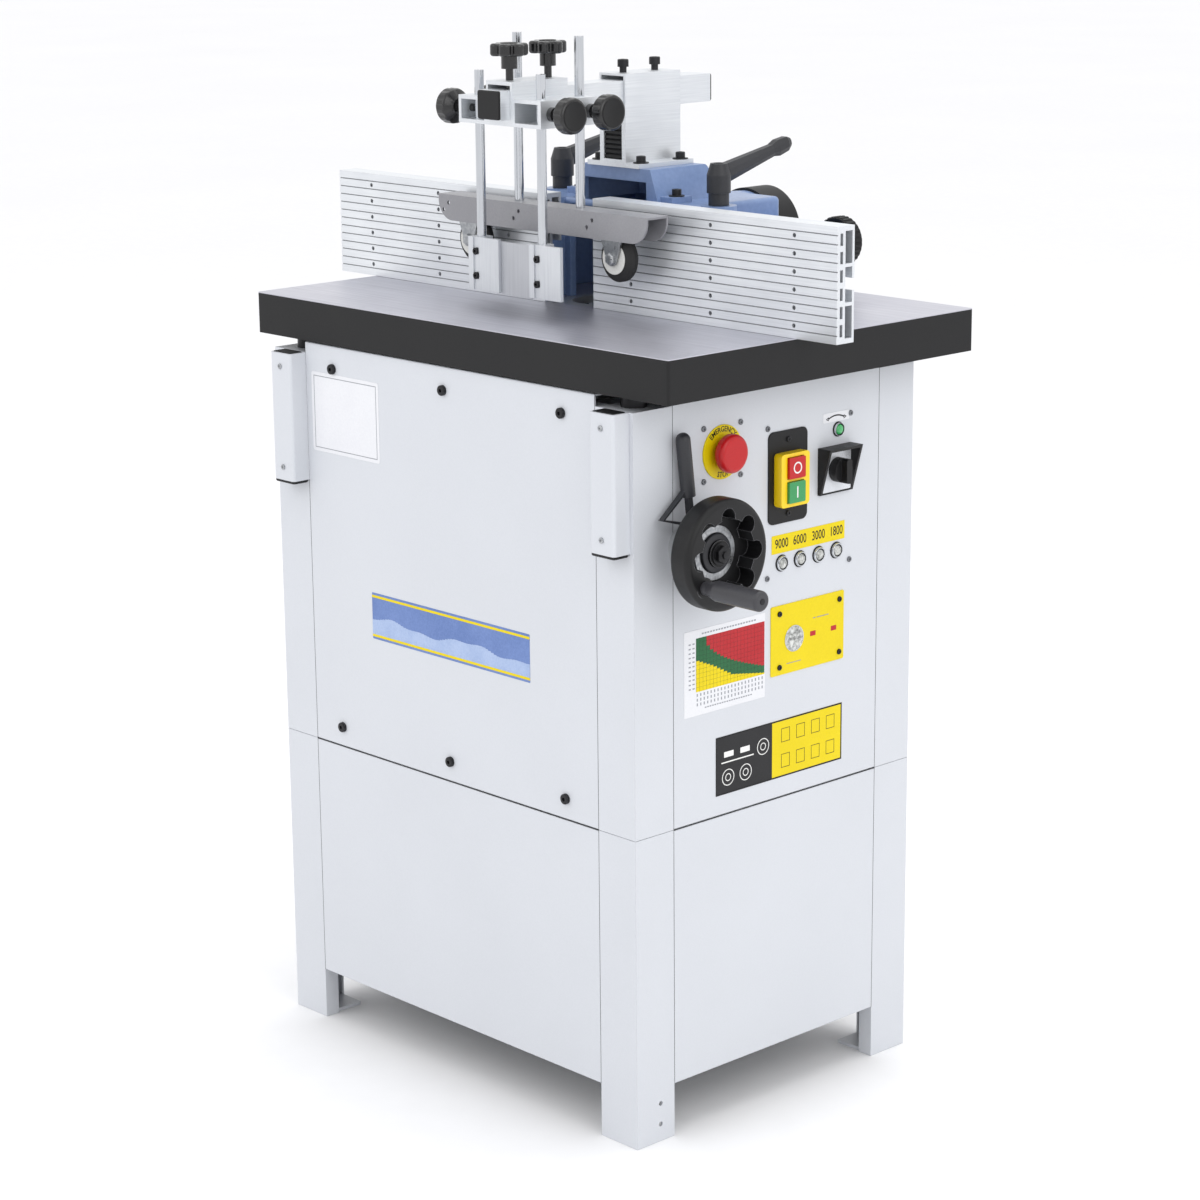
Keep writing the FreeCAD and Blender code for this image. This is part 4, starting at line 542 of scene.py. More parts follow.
def on_face(flat: np.ndarray, depth: np.ndarray, place: Place, facing: Place) -> np.ndarray:
    """Lays flat points on a face: (u, v) at depth d goes to place + u across + v up + d out.

    Args:
        flat: Points across and upwards.
        depth: How far each stands out.
        place: Origin on the face.
        facing: Direction of the face.

    Returns:
        The points in space.
    """
    across, rise, out = directions(facing)
    return np.asarray(place) + flat[..., :1] * across + flat[..., 1:] * rise + depth * out


def joined(patches: Sequence[Patch]) -> Patch:
    """Puts patches together as one, each with its point numbers moved past those before it."""
    starts = np.cumsum([0] + [len(patch.points) for patch in patches[:-1]]).tolist()
    pairs = zip(patches, starts)
    faces = [[number + start for number in face] for patch, start in pairs for face in patch.faces]
    return Patch(np.concatenate([patch.points for patch in patches]), faces)


def loft(rings: np.ndarray, looped: bool = False) -> Patch:
    """Joins closed sections into a skin: quad (i, j) spans sections i, i + 1 and points j, j + 1.

    Args:
        rings: Sections by points by three.
        looped: Whether the last section joins the first; otherwise flat caps close the ends.

    Returns:
        The closed patch.
    """
    rows, count = rings.shape[:2]
    here = np.arange(rows * count).reshape(rows, count)
    beside = np.roll(here, -1, axis=1)
    above = [np.roll(numbers, -1, axis=0) for numbers in (beside, here)]
    quads = np.stack([here, beside, *above], axis=-1)
    if looped:
        return Patch(rings.reshape(-1, 3), quads.reshape(-1, 4).tolist())
    caps = [here[0, ::-1].tolist(), here[-1].tolist()]
    return Patch(rings.reshape(-1, 3), quads[:-1].reshape(-1, 4).tolist() + caps)


def eased(points: Rows, radius: float) -> np.ndarray:
    """Rounds the inner corners of an open line.

    Near a corner C the line follows (1-t)^2 A + 2t(1-t) C + t^2 B, where A and B lie a radius, or
    at most half a run, before and after C.

    Args:
        points: Corner points.
        radius: How far each rounding reaches.

    Returns:
        Points of the rounded line.
    """
    line = np.asarray(points, dtype=float)
    corner = line[1:-1]
    runs = [line[:-2] - corner, line[2:] - corner]
    lengths = [np.linalg.norm(run, axis=1, keepdims=True) for run in runs]
    start, end = (
        corner + run / size * np.minimum(radius, size / 2) for run, size in zip(runs, lengths)
    )
    t = np.linspace(0, 1, ARC_STEPS)[None, :, None]
    near = (1 - t) ** 2 * start[:, None] + 2 * t * (1 - t) * corner[:, None]
    arcs = near + t ** 2 * end[:, None]
    return np.concatenate([line[:1], arcs.reshape(-1, line.shape[1]), line[-1:]])


def turned(
    profile: Rows, place: Place, facing: Place, looped: bool = False,
    sides: Optional[Sequence[int]] = None,
) -> Patch:
    """Spins a profile about an axis: (r, h) becomes place + h out + r (across cos t + up sin t).

    A row with n sides is a polygon: its r is divided by the cosine of the angle from a flat.

    Args:
        profile: Rows of radius and height.
        place: Foot of the axis.
        facing: Direction of the axis.
        looped: Whether the profile is closed, as a ring's is.
        sides: Number of flats for each row, 0 for round.

    Returns:
        The turned patch.
    """
    rows = np.asarray(profile, dtype=float)
    flats = np.zeros(len(rows)) if sides is None else np.asarray(sides, dtype=float)
    turn = np.linspace(0, 2 * math.pi, ROUND_STEPS, endpoint=False)
    sector = (2 * math.pi / np.maximum(flats, 3))[:, None]
    swing = (turn + sector / 2) % sector - sector / 2
    reach = np.where(flats[:, None] > 0, rows[:, :1] / np.cos(swing), rows[:, :1])[..., None]
    circle = reach * np.stack([np.cos(turn), np.sin(turn)], axis=-1)
    return loft(on_face(circle, rows[:, 1:2, None], place, facing), looped)


def ring(
    outer: float, inner: float, thick: float, place: Place, facing: Place, edge: float = 0.3,
) -> Patch:
    """A flat ring: a rectangle with eased corners, turned about its axis."""
    profile = [(inner, 0), (outer, 0), (outer, thick - edge), (outer - edge, thick),
               (inner + edge, thick), (inner, thick - edge)]
    return turned(profile, place, facing, looped=True)


def disc(radius: float, thick: float, place: Place, facing: Place, edge: float = 0.3) -> Patch:
    """A disc with a rounded front edge."""
    profile = eased([(radius, 0), (radius, thick), (radius * POLE, thick)], edge)
    return turned(profile, place, facing)


def rounded_rectangle(width: float, height: float, corner: float) -> Outline:
    """Gives the outline of a rounded rectangle, drawn in by any inset.

    Args:
        width: Size across.
        height: Size upwards.
        corner: Corner radius.

    Returns:
        A function from the inset to points: four quarter circles about the corner centres.
    """
    signs = np.array([(1, 1), (-1, 1), (-1, -1), (1, -1)])
    quarter = math.pi / 2
    turn = np.arange(4)[:, None] * quarter + np.linspace(0, quarter, ARC_STEPS)[None, :]
    least = 0.02

    def outline(inset: float) -> np.ndarray:
        """Points of the rectangle drawn in by the inset."""
        radius = max(corner - inset, least)
        centre = signs * (np.array([width, height]) / 2 - inset - radius)
        arcs = radius * np.stack([np.cos(turn), np.sin(turn)], axis=-1)
        return (centre[:, None] + arcs).reshape(-1, 2)

    return outline


def slab(outline: Outline, thick: float, place: Place, facing: Place, edge: float = 0.1) -> Patch:
    """Raises an outline off a face: sections at the back, under the edge and, drawn in, in front.

    Args:
        outline: Function from an inset to the outline's points.
        thick: Height above the face.
        place: Middle of the back.
        facing: Direction of the face.
        edge: Bevel of the front edge.

    Returns:
        The closed patch.
    """
    flat = np.stack([outline(0), outline(0), outline(edge)])
    depth = np.array([0, thick - edge, thick])[:, None, None]
    return loft(on_face(flat, depth, place, facing))


def plate(
    width: float, height: float, thick: float, place: Place, facing: Place, corner: float = 1.0,
    edge: float = 0.1,
) -> Patch:
    """A rounded rectangular plate on a face."""
    return slab(rounded_rectangle(width, height, corner), thick, place, facing, edge)


def bar_rows(*sides: Union[float, np.ndarray]) -> np.ndarray:
    """Rows for bars from low across, low up, high across and high up, each one number or many."""
    return np.stack(np.broadcast_arrays(*sides), axis=-1)


def bars(spans: Rows, thick: float, place: Place, facing: Place) -> Patch:
    """Flat bars on a face, all at once: each row's two corners span a block of one thickness.

    Args:
        spans: Rows of low across, low up, high across, high up.
        thick: Height above the face.
        place: Origin on the face.
        facing: Direction of the face.

    Returns:
        One patch of all the bars.
    """
    rows = np.asarray(spans, dtype=float)
    pick = np.array([(0, 1), (2, 1), (2, 3), (0, 3)])
    flat = np.tile(rows[:, pick], (1, 2, 1))
    depth = np.repeat([0.0, thick], 4)[None, :, None]
    points = on_face(flat, depth, place, facing)
    block = np.array([(3, 2, 1, 0), (4, 5, 6, 7), (0, 1, 5, 4), (1, 2, 6, 5), (2, 3, 7, 6),
                      (3, 0, 4, 7)])
    faces = block[None] + 8 * np.arange(len(rows))[:, None, None]
    return Patch(points.reshape(-1, 3), faces.reshape(-1, 4).tolist())


def frame_line(width: float, height: float, line: float, place: Place, facing: Place) -> Patch:
    """A thin rectangular line round a label, as four bars."""
    x, z = width / 2, height / 2
    spans = [(-x, -z, x, line - z), (-x, z - line, x, z), (-x, line - z, line - x, z - line),
             (x - line, line - z, x, z - line)]
    return bars(spans, INK, place, facing)


def arc_band(
    radius: float, line: float, start: float, end: float, thick: float, place: Place, facing: Place,
) -> Patch:
    """A band half a line to either side of an arc, which runs from start to end in degrees."""
    turn = np.radians(np.linspace(start, end, ARC_STEPS * 2))
    way = np.stack([np.cos(turn), np.sin(turn)], axis=-1)
    shape = np.concatenate([(radius + line / 2) * way, (radius - line / 2) * way[::-1]])
    return slab(lambda inset: shape, thick, place, facing, edge=thick / 4)


def lettering(
    words: str, height: float, place: Place, facing: Place, bend: float = 0.0, stretch: float = 1.0,
    bold: float = 0.0,
) -> Patch:
    """Turns words into a raised mesh on a face.

    On a bend of radius R a point (x, y) goes to angle x / R from the top and distance R + y; a
    negative bend lays the words along the bottom, where they still read from left to right.

    Args:
        words: What is written.
        height: Letter height.
        place: Middle of the words, or of the circle that they bend round.
        facing: Direction of the face.
        bend: Radius of the baseline's circle, 0 for straight.
        stretch: Width of the letters against their usual width.
        bold: How far the strokes are widened.

    Returns:
        The patch of the letters.
    """
    curve = bpy.data.curves.new("words", "FONT")
    curve.body = words
    curve.align_x = curve.align_y = "CENTER"
    curve.size = height * FONT_SIZE
    curve.extrude = INK / 2
    curve.offset = bold
    curve.resolution_u = 3
    holder = bpy.data.objects.new("words", curve)
    mesh = bpy.data.meshes.new_from_object(holder)
    points = np.empty(len(mesh.vertices) * 3)
    mesh.vertices.foreach_get("co", points)
    x, y, z = points.reshape(-1, 3).T
    x = x * stretch
    faces = [list(face.vertices) for face in mesh.polygons]
    bpy.data.meshes.remove(mesh)
    bpy.data.objects.remove(holder)
    bpy.data.curves.remove(curve)
    if bend:
        sign, radius = math.copysign(1, bend), abs(bend)
        reach = radius + sign * y
        x, y = reach * np.sin(x / radius), sign * reach * np.cos(x / radius)
    flat = np.stack([x, y], axis=-1)
    return Patch(on_face(flat, z[:, None] + INK / 2, place, facing), faces)


def add(name: str, patch: Patch, finish: Finish, body: str = "frame", slot: str = "") -> None:
    """Makes a piece from a patch and hangs it on its body.

    Args:
        name: Name of the piece.
        patch: Its surface, in millimetres.
        finish: Its finish.
        body: The body that carries it.
        slot: The record's material slot, where it isn't the finish's own; not used.
    """
    mesh = bpy.data.meshes.new(name)
    mesh.from_pydata((patch.points * MM).tolist(), [], patch.faces)
    shell = bmesh.new()
    shell.from_mesh(mesh)
    bmesh.ops.recalc_face_normals(shell, faces=shell.faces)
    shell.to_mesh(mesh)
    shell.free()
    mesh.shade_smooth()
    mesh.set_sharp_from_angle(angle=SMOOTH_LIMIT)
    mesh.materials.append(finish.material())
    piece = bpy.data.objects.new(name, mesh)
    bpy.context.scene.collection.objects.link(piece)
    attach(piece, body)
    slot or finish.slot
    log.info("%s rides on %s, %s faces", name, body, len(mesh.polygons))


@dataclass(frozen=True)
class Screw:
    """A screw head with a hexagon socket, in millimetres."""

    radius: float  # head radius
    height: float  # head height
    socket: float  # half the width across the socket's flats
    washer: float = 0.0  # radius of the washer under the head, 0 for none
    washer_thick: float = 1.2  # thickness of that washer
    mouth: float = 1.3  # radius of the socket's mouth against its half width
    floor: float = 0.45  # height of the socket's floor against the head's height

    def patch(self, place: Place, facing: Place) -> Patch:
        """Head turned from a cylinder with an eased rim, a hexagon sunk in its top.

        Args:
            place: Where the head, or its washer, sits.
            facing: Direction that the head looks in.

        Returns:
            The patch of the head and its washer.
        """
        line = [(self.radius, 0), (self.radius, self.height),
                (self.socket * self.mouth, self.height)]
        rim = eased(line, self.radius / 4)
        sunk = [(self.socket, self.height), (self.socket, self.height * self.floor)]
        thick = self.washer_thick if self.washer else 0.0
        seat = np.asarray(place, dtype=float) + thick * np.array(facing)
        flats = [0] * len(rim) + [6, 6]
        head = turned(np.concatenate([rim, sunk]), seat, facing, sides=flats)
        if not self.washer:
            return head
        return joined([head, disc(self.washer, thick, place, facing)])


CAP_SCREW = Screw(6.0, 8.0, 2.7)
WASHER_SCREW = Screw(5.2, 6.5, 2.3, washer=8.5)
COVER_SCREW = Screw(5.6, 4.0, 2.0)
SHOE_SCREW = Screw(3.8, 3.4, 1.6)
PANEL_SCREW = Screw(3.0, 1.6, 1.1)
HUB_SCREW = Screw(4.8, 5.0, 2.0)


def screws(kind: Screw, places: Sequence[Place], facing: Place) -> Patch:
    """One patch of like screws."""
    return joined([kind.patch(place, facing) for place in places])


@dataclass
class Panel:
    """A sheet that labels and fittings sit on, in millimetres.

    Places are across it from the machine's middle and down from its top.
    """

    node: str  # the sheet's node
    facing: Place  # direction that it looks in

    def __post_init__(self) -> None:
        """Reads the sheet's face and top from the frame."""
        self.face = float(side(self.node, self.facing) @ np.array(self.facing))
        self.top = float(corners(self.node)[1][2])

    def spot(self, across: float, drop: float, lift: float = 0.0) -> np.ndarray:
        """Place on the sheet, lifted off its face."""
        return np.array([across, self.top - drop, self.face + lift]) @ directions(self.facing)

    def behind(self, node: str) -> np.ndarray:
        """Place on the sheet behind the middle of a node."""
        out = np.array(self.facing)
        front = side(node, self.facing)
        return front + (self.face - front @ out) * out

    def label(
        self, name: str, bounds: Area, finish: Finish, thick: float = LABEL, corner: float = 1.0,
        edge: float = FILM_EDGE,
    ) -> tuple[float, float, np.ndarray]:
        """Sticks a plate on the sheet.

        Args:
            name: Name of the piece.
            bounds: Its left, right, top and bottom.
            finish: Its finish.
            thick: Its thickness.
            corner: Its corner radius.
            edge: Bevel of its edge.

        Returns:
            Its width, its height and the middle of its face.
        """
        left, right, high, low = bounds
        width, height = right - left, low - high
        place = self.spot((left + right) / 2, (high + low) / 2)
        add(name, plate(width, height, thick, place, self.facing, corner, edge), finish)
        return width, height, place + thick * np.array(self.facing)


@dataclass
class Cabinet(Panel):
    """Fittings on the sheet-metal cabinet and its front cover, in millimetres."""

    node: str = "front_cover"
    facing: Place = FRONT
    cover_screw_x: tuple[float, ...] = (-184.5, 0.0, 183.0)  # cover screws from the middle
    cover_screw_inset: Pair = (25.0, 22.2)  # cover screws from the cover's top and bottom
    rear_bolt: Pair = (27.0, 200.0)  # rear bolt from the stand's right end, and its height
    tube: Pair = (35.0, 4.0)  # width and corner radius of a bracket's tube
    caps: Pair = (2.6, 0.3)  # rim left round the upper caps, dark sheets painting the shade inside open tube ends, and round the lower caps
    cap_thick: Pair = (0.8, 3.0)  # thickness of those caps
    bracket_screw_inset: float = 14.8  # bracket screws from the bracket's ends
    joint: float = 0.5  # room between a sheet and the post beside it
    # Left, right, top and bottom of the bare label.
    sheet_label: Area = (-222.0, -107.0, 31.0, 119.0)
    line: Pair = (4.0, 0.8)  # margin and width of the line round that label
    # The same as the label's for the plain plate in the middle of the cover.
    front_plate: Area = (-127.0, 130.0, 264.0, 316.0)
    wave_steps: int = 59  # columns of the wave on that plate
    wave_foot: float = -20.6  # where they start
    stripe: Pair = (22.0, 1.4)  # middle of a stripe from the plate's middle, and half its width

    def build(self) -> None:
        """Makes the screws, the caps, the painted shade in the joints, the labels and the plain
        plate.
        """
        low, high = corners("front_cover")
        heights = (high[2] - self.cover_screw_inset[0], low[2] + self.cover_screw_inset[1])
        spots = [(x, low[1], z) for x in self.cover_screw_x for z in heights]
        add("cover_screws", screws(COVER_SCREW, spots, FRONT), BLACK_STEEL)
        self.brackets()
        self.shade_strips()
        self.labels()
        end = corners("stand_legs")[1]
        bolt = (end[0] - self.rear_bolt[0], end[1], self.rear_bolt[1])
        add("rear_bolt", CAP_SCREW.patch(bolt, BACK), BLACK_STEEL)

    def brackets(self) -> None:
        """Caps the two bracket tubes at both ends, the upper cap a thin dark sheet inside a pale
        rim that paints the shade of an open tube end, and screws each to its post.
        """
        low, high = corners("front_brackets")
        y, depth = (low[1] + high[1]) / 2, high[1] - low[1]
        width, corner = self.tube
        caps, heads = [], []
        for x in (low[0] + width / 2, high[0] - width / 2):
            ends = zip((high[2], low[2]), (UP, DOWN), self.caps, self.cap_thick)
            for z, facing, rim, thick in ends:
                size = (width - 2 * rim, depth - 2 * rim, thick)
                caps.append(plate(*size, (x, y, z), facing, corner - rim, thick / 4))
            for z in (high[2] - self.bracket_screw_inset, low[2] + self.bracket_screw_inset):
                heads.append(PANEL_SCREW.patch((x, low[1], z), FRONT))
        add("bracket_caps_and_tube_shade", joined(caps), MATT_BLACK)
        add("bracket_screws", joined(heads), ZINC)

    def shade_strips(self) -> None:
        """Dark rubber bars in the joints of the sheets, painting the shade of the gaps: thin bars
        beside and under each upper one.
        """
        foot = corners("stand_panels")[0][2]
        sheets = (("front_cover", FRONT), ("rear_panel", BACK), ("left_panel", LEFT),
                  ("control_panel", RIGHT))
        strips = []
        for name, facing in sheets:
            low, high = corners(name)
            half = float(np.abs(directions(facing)[0]) @ (high - low)) / 2
            spans = [(-half, low[2] - 2 * self.joint, half, low[2]),
                     (-half - self.joint, foot, -half, high[2]),
                     (half, foot, half + self.joint, high[2])]
            strips.append(bars(spans, INK, side(name, facing) * (1, 1, 0), facing))
        # Painted shade: dark strips laid over the joints between the sheets and the posts.
        add("joint_shade_strips", joined(strips), RUBBER)

    def labels(self) -> None:
        """Sticks the bare label and the plain striped plate on the cover.

        The plate's wave is a row of columns up to -4 + 3 sin(x / 21) + 1.4 sin(x / 8 + 1).
        """
        width, height, over = self.label("sheet_label", self.sheet_label, WHITE_FILM, corner=3.0)
        margin, thin = self.line
        line = frame_line(width - 2 * margin, height - 2 * margin, thin, over, FRONT)
        add("sheet_label_line", line, GREY_INK, slot="cabinet_paint")
        width, _, over = self.label("front_plate", self.front_plate, BLUE_FILM)
        half = width / 2
        run = np.linspace(-half, half, self.wave_steps + 1)
        crest = -4.0 + 3.0 * np.sin(run / 21.0) + 1.4 * np.sin(run / 8.0 + 1.0)
        columns = bar_rows(run[:-1], self.wave_foot, run[1:], (crest[:-1] + crest[1:]) / 2)
        add("front_plate_wave", bars(columns, INK * 0.6, over, FRONT), SKY_FILM)
        rise, thin = self.stripe
        stripes = [(-half, end * rise - thin, half, end * rise + thin) for end in BOTH]
        add("front_plate_stripes", bars(stripes, INK, over, FRONT), YELLOW_FILM)


@dataclass
class ControlPanel(Panel):
    """Switches, lamps and labels of the control side, in millimetres."""

    node: str = "control_panel"
    facing: Place = RIGHT
    screw_across: Pair = (-17.0, 108.0)  # panel screws from the middle
    screw_drop: Pair = (54.0, 211.3)  # panel screws from the top
    # Outer and inner radius and thickness of the ring under the emergency stop.
    stop_ring: Triple = (28.0, 11.6, 1.4)
    legend: Pair = (23.4, 5.6)  # radius and height of the words on it
    stop_screws: Pair = (26.4, 27.0)  # screws round it, from its middle
    # Width, height and thickness of the black plate behind the push buttons.
    switch_plate: Triple = (58.0, 97.0, 1.6)
    switch_lift: float = 2.0  # its middle above the middle of the housing
    switch_screw: float = 38.8  # its screws from its middle
    selector_face: Pair = (43.0, 0.22)  # side and thickness of the selector's silver face
    selector_seat: Pair = (4.0, 1.5)  # that face from the back and below the middle of its frame
    pilot: Pair = (88.9, 68.6)  # place of the green lamp
    pilot_size: Pair = (8.0, 0.92)  # its radius, and the share of its lens
    lamps: tuple[float, ...] = (4.5, 31.9, 60.2, 87.6)  # across places of the four speed lamps
    lamp_drop: float = 198.0  # how far down they are
    lamp_size: Pair = (9.0, 0.82)  # their radius, and the share of their lenses
    speeds: tuple[str, ...] = ("9000", "6000", "3000", "1800")  # number over each speed lamp
    # Left, right, top and bottom of the yellow speed strip.
    strip: Area = (-10.4, 100.6, 167.6, 187.2)
    # The same for the yellow plate with the round window.
    window_plate: Area = (-11.5, 100.0, 243.0, 318.0)
    plate_thick: float = 1.0  # thickness of that plate
    window: Pair = (23.3, 281.8)  # place of the window
    window_ring: Pair = (14.2, 13.2)  # outer and inner radius of its ring
    chart: Area = (-137.7, -19.6, 246.5, 337.0)  # the same as the strip's for the stepped chart
    chart_steps: int = 20  # columns of the chart
    chart_rows: int = 12  # rows of the chart
    guide_label: Area = (-92.0, 99.0, 367.0, 430.0)  # the same for the black and yellow label
    guide_split: float = -8.4  # where its black part ends
    turn_label: Area = (66.0, 106.0, 50.0, 60.0)  # the same for the label with the turning arrow
    dark_reflection_ring: float = 1.0  # how far the dark rubber ring under a lamp's bezel stands out round it, painting the bezel's dark reflection

    def build(self) -> None:
        """Makes everything on the control side."""
        self.emergency_stop()
        self.push_buttons()
        self.selector()
        self.speed_lamps()
        self.yellow_plate()
        self.speed_chart()
        self.guide()
        spots = [self.spot(across, drop) for across in self.screw_across
                 for drop in self.screw_drop]
        add("panel_screws", screws(PANEL_SCREW, spots, RIGHT), SCREW_STEEL)

    def emergency_stop(self) -> None:
        """Yellow ring with its legend and four screws round it."""
        middle = self.behind("estop_head")
        add("stop_ring", ring(*self.stop_ring, middle, RIGHT, 0.4), YELLOW_FILM)
        over = middle + (self.stop_ring[2], 0.0, 0.0)
        radius, height = self.legend
        legend = [lettering(words, height, over, RIGHT, bend=bend, stretch=0.9, bold=0.12)
                  for words, bend in (("EMERGENCY", radius), ("STOP", -radius))]
        add("stop_legend", joined(legend), BLACK_INK)
        across, rise = self.stop_screws
        spots = [middle + (0.0, y * across, z * rise) for y in BOTH for z in BOTH]
        add("stop_screws", screws(PANEL_SCREW, spots, RIGHT), SCREW_STEEL)

    def push_buttons(self) -> None:
        """Black plate behind the buttons, its screws, and the ring and bar on the two caps."""
        middle = self.behind("switch_housing") + (0.0, 0.0, self.switch_lift)
        add("switch_plate", plate(*self.switch_plate, middle, RIGHT, 7.0, 0.4), MATT_BLACK)
        spots = [middle + (self.switch_plate[2], 0.0, end * self.switch_screw) for end in BOTH]
        add("switch_screws", screws(PANEL_SCREW, spots, RIGHT), BLACK_STEEL)
        mark = ring(6.2, 4.6, INK * 2, side("stop_button", RIGHT), RIGHT, INK / 2)
        add("stop_mark", mark, WHITE_INK, "stop_button", "red_plastic")
        mark = plate(1.8, 12.0, INK * 2, side("start_button", RIGHT), RIGHT, 0.5, INK / 2)
        add("start_mark", mark, WHITE_INK, "start_button", "green_plastic")

    def selector(self) -> None:
        """Silver face of the selector, its pilot lamp and the label with the turning arrow."""
        floor, drop = self.selector_seat
        seat = side("selector_frame", LEFT) + (floor, 0.0, -drop)
        width, thick = self.selector_face
        add("selector_face", plate(width, width, thick, seat, RIGHT, 1.5, FILM_EDGE), SILVER_FILM)
        self.signal("pilot", self.spot(*self.pilot), GREEN_LENS, *self.pilot_size)
        over = self.label("turn_label", self.turn_label, WHITE_FILM, corner=1.5)[2]
        sweep = arc_band(26.0, 1.5, 62.0, 118.0, INK, over - (0.0, 0.0, 24.5), RIGHT)
        heads = [lettering(words, 5.5, over + (0.0, end * 13.4, -1.8), RIGHT, bold=0.15)
                 for words, end in zip("<>", BOTH)]
        add("turn_arrow", joined([sweep] + heads), BLACK_INK)

    def signal(
        self, name: str, place: np.ndarray, lens: Finish, radius: float, share: float,
    ) -> None:
        """A signal lamp: a chrome bezel on a dark rubber ring, a painted dark reflection round it,
        with a domed lens sealed in it.

        Args:
            name: What the lamp is called.
            place: Its middle on the panel.
            lens: Finish of the lens.
            radius: Outer radius of that dark ring.
            share: Radius of the lens against the bezel's.
        """
        rim = radius - self.dark_reflection_ring
        inner = rim * share
        # Dark rubber ring round the bezel: painted dark reflection outlining the chrome.
        add(name + "_dark_reflection_ring", ring(radius, inner, 0.7, place, RIGHT), RUBBER)
        rows = [(inner, 0.7), (rim, 0.7), (rim, 2.4), ((rim + inner) / 2, 3.6), (inner, 3.4),
                (inner, 0.9)]
        add(name + "_bezel", turned(eased(rows, 0.8), place, RIGHT, looped=True), CHROME)
        glass = inner - 0.8
        add(name + "_seal", ring(inner, glass, 2.6, place, RIGHT, 0.1), RUBBER)
        dome = eased([(glass, 0), (glass, 2.2), (glass * 0.75, 4.0), (glass * 0.04, 4.6)], 1.2)
        add(name + "_lens", turned(dome, place, RIGHT), lens)

    def speed_lamps(self) -> None:
        """Yellow strip with four speeds and a lamp under each."""
        _, _, over = self.label("speed_strip", self.strip, YELLOW_FILM)
        words = [lettering(speed, 10.0, (over[0], y, over[2]), RIGHT, stretch=0.72, bold=0.12)
                 for speed, y in zip(self.speeds, self.lamps)]
        add("speed_numbers", joined(words), BLACK_INK)
        for speed, y in zip(self.speeds, self.lamps):
            place = self.spot(y, self.lamp_drop)
            self.signal("speed_lamp_" + speed, place, CLEAR_LENS, *self.lamp_size)

    def yellow_plate(self) -> None:
        """Yellow plate with a round window, two small pointers and four corner screws."""
        width, height, over = self.label(
            "window_plate", self.window_plate, YELLOW_FILM, self.plate_thick, 2.0, 0.2,
        )
        spots = [over + (0.0, y, z) for y in (12.5 - width / 2, width / 2 - 7.5)
                 for z in (8.5 - height / 2, height / 2 - 9)]
        add("window_screws", screws(PANEL_SCREW, spots, RIGHT), BLACK_STEEL)
        seat = self.spot(*self.window, self.plate_thick)
        outer, inner = self.window_ring
        add("window_ring", ring(outer, inner, 0.8, seat, RIGHT), CHROME)
        glass = 0.4
        add("window_face", disc(inner, glass, seat, RIGHT, 0.1), CLEAR_LENS)
        ticks = [(-8.0 + 2.0 * i, -1.5, -7.4 + 2.0 * i, 1.5 + (i % 4 == 0)) for i in range(9)]
        add("window_ticks", bars(ticks, INK, seat + (glass, 0.0, 0.0), RIGHT), BLACK_INK)
        base = self.spot(0.0, self.window[1], self.plate_thick)
        marks = [(y - 4.2, -2.6, y + 4.2, 2.6) for y in (52.0, 84.0)]
        add("window_marks", bars(marks, INK, base, RIGHT), RED_FILM)
        rules = [(12.0, -26.0, 34.0, -25.2), (52.0, 16.0, 56.0, 17.0), (58.0, 16.0, 76.0, 17.0)]
        add("window_rules", bars(rules, INK, base, RIGHT), GREY_INK)

    def speed_chart(self) -> None:
        """White chart whose three fields step down from left to right, with a grid and small marks.

        Column i of n spans the field's width / n. With s = (i + 1) / n the upper field reaches down
        a share of 0.83 sqrt((s - 0.16) / 0.84) of the height, the middle one along straight runs,
        and the last fills the rest.
        """
        width, height, over = self.label("chart_sheet", self.chart, WHITE_FILM)
        left, low, wide, tall = 17 - width / 2, 25 - height / 2, width - 18, height - 34
        top = low + tall
        share = np.arange(self.chart_steps + 1) / self.chart_steps
        start, end = left + wide * share[:-1], left + wide * share[1:]
        share = share[1:]
        fall = 0.83 * np.sqrt(np.clip((share - 0.16) / 0.84, 0, 1))
        upper = low + tall * (1 - fall)
        fall = np.interp(share, (0.0, 0.27, 0.55, 1.0), (0.385, 0.58, 0.84, 0.97))
        lower = low + tall * (1 - fall)
        fields = (("red", upper, top, RED_FILM), ("green", lower, upper, GREEN_FILM),
                  ("yellow", low, lower, YELLOW_FILM))
        for name, floor, roof, finish in fields:
            add("chart_" + name, bars(bar_rows(start, floor, end, roof), INK, over, RIGHT), finish)
        row = low + tall * np.arange(1, self.chart_rows) / self.chart_rows
        thin = 0.14
        grid = [bar_rows(start, low, start + thin, top),
                bar_rows(left, row, left + wide, row + thin)]
        add("chart_grid", bars(np.concatenate(grid), INK * 1.5, over, RIGHT), BLACK_INK)
        figures = [bar_rows(start + 1, low - gap - 3, start + 2.6, low - gap) for gap in (2, 7, 12)]
        figures += [bar_rows(left - gap - 3, row - 1, left - gap, row + 0.4) for gap in (2, 7.5)]
        figures.append(bar_rows(start * 0.8, top + 3, start * 0.8 + 2.6, top + 4.6))
        figures.append(bar_rows(start * 0.7, low - 19, start * 0.7 + 2.4, low - 17.8))
        add("chart_figures", bars(np.concatenate(figures), INK, over, RIGHT), GREY_INK)

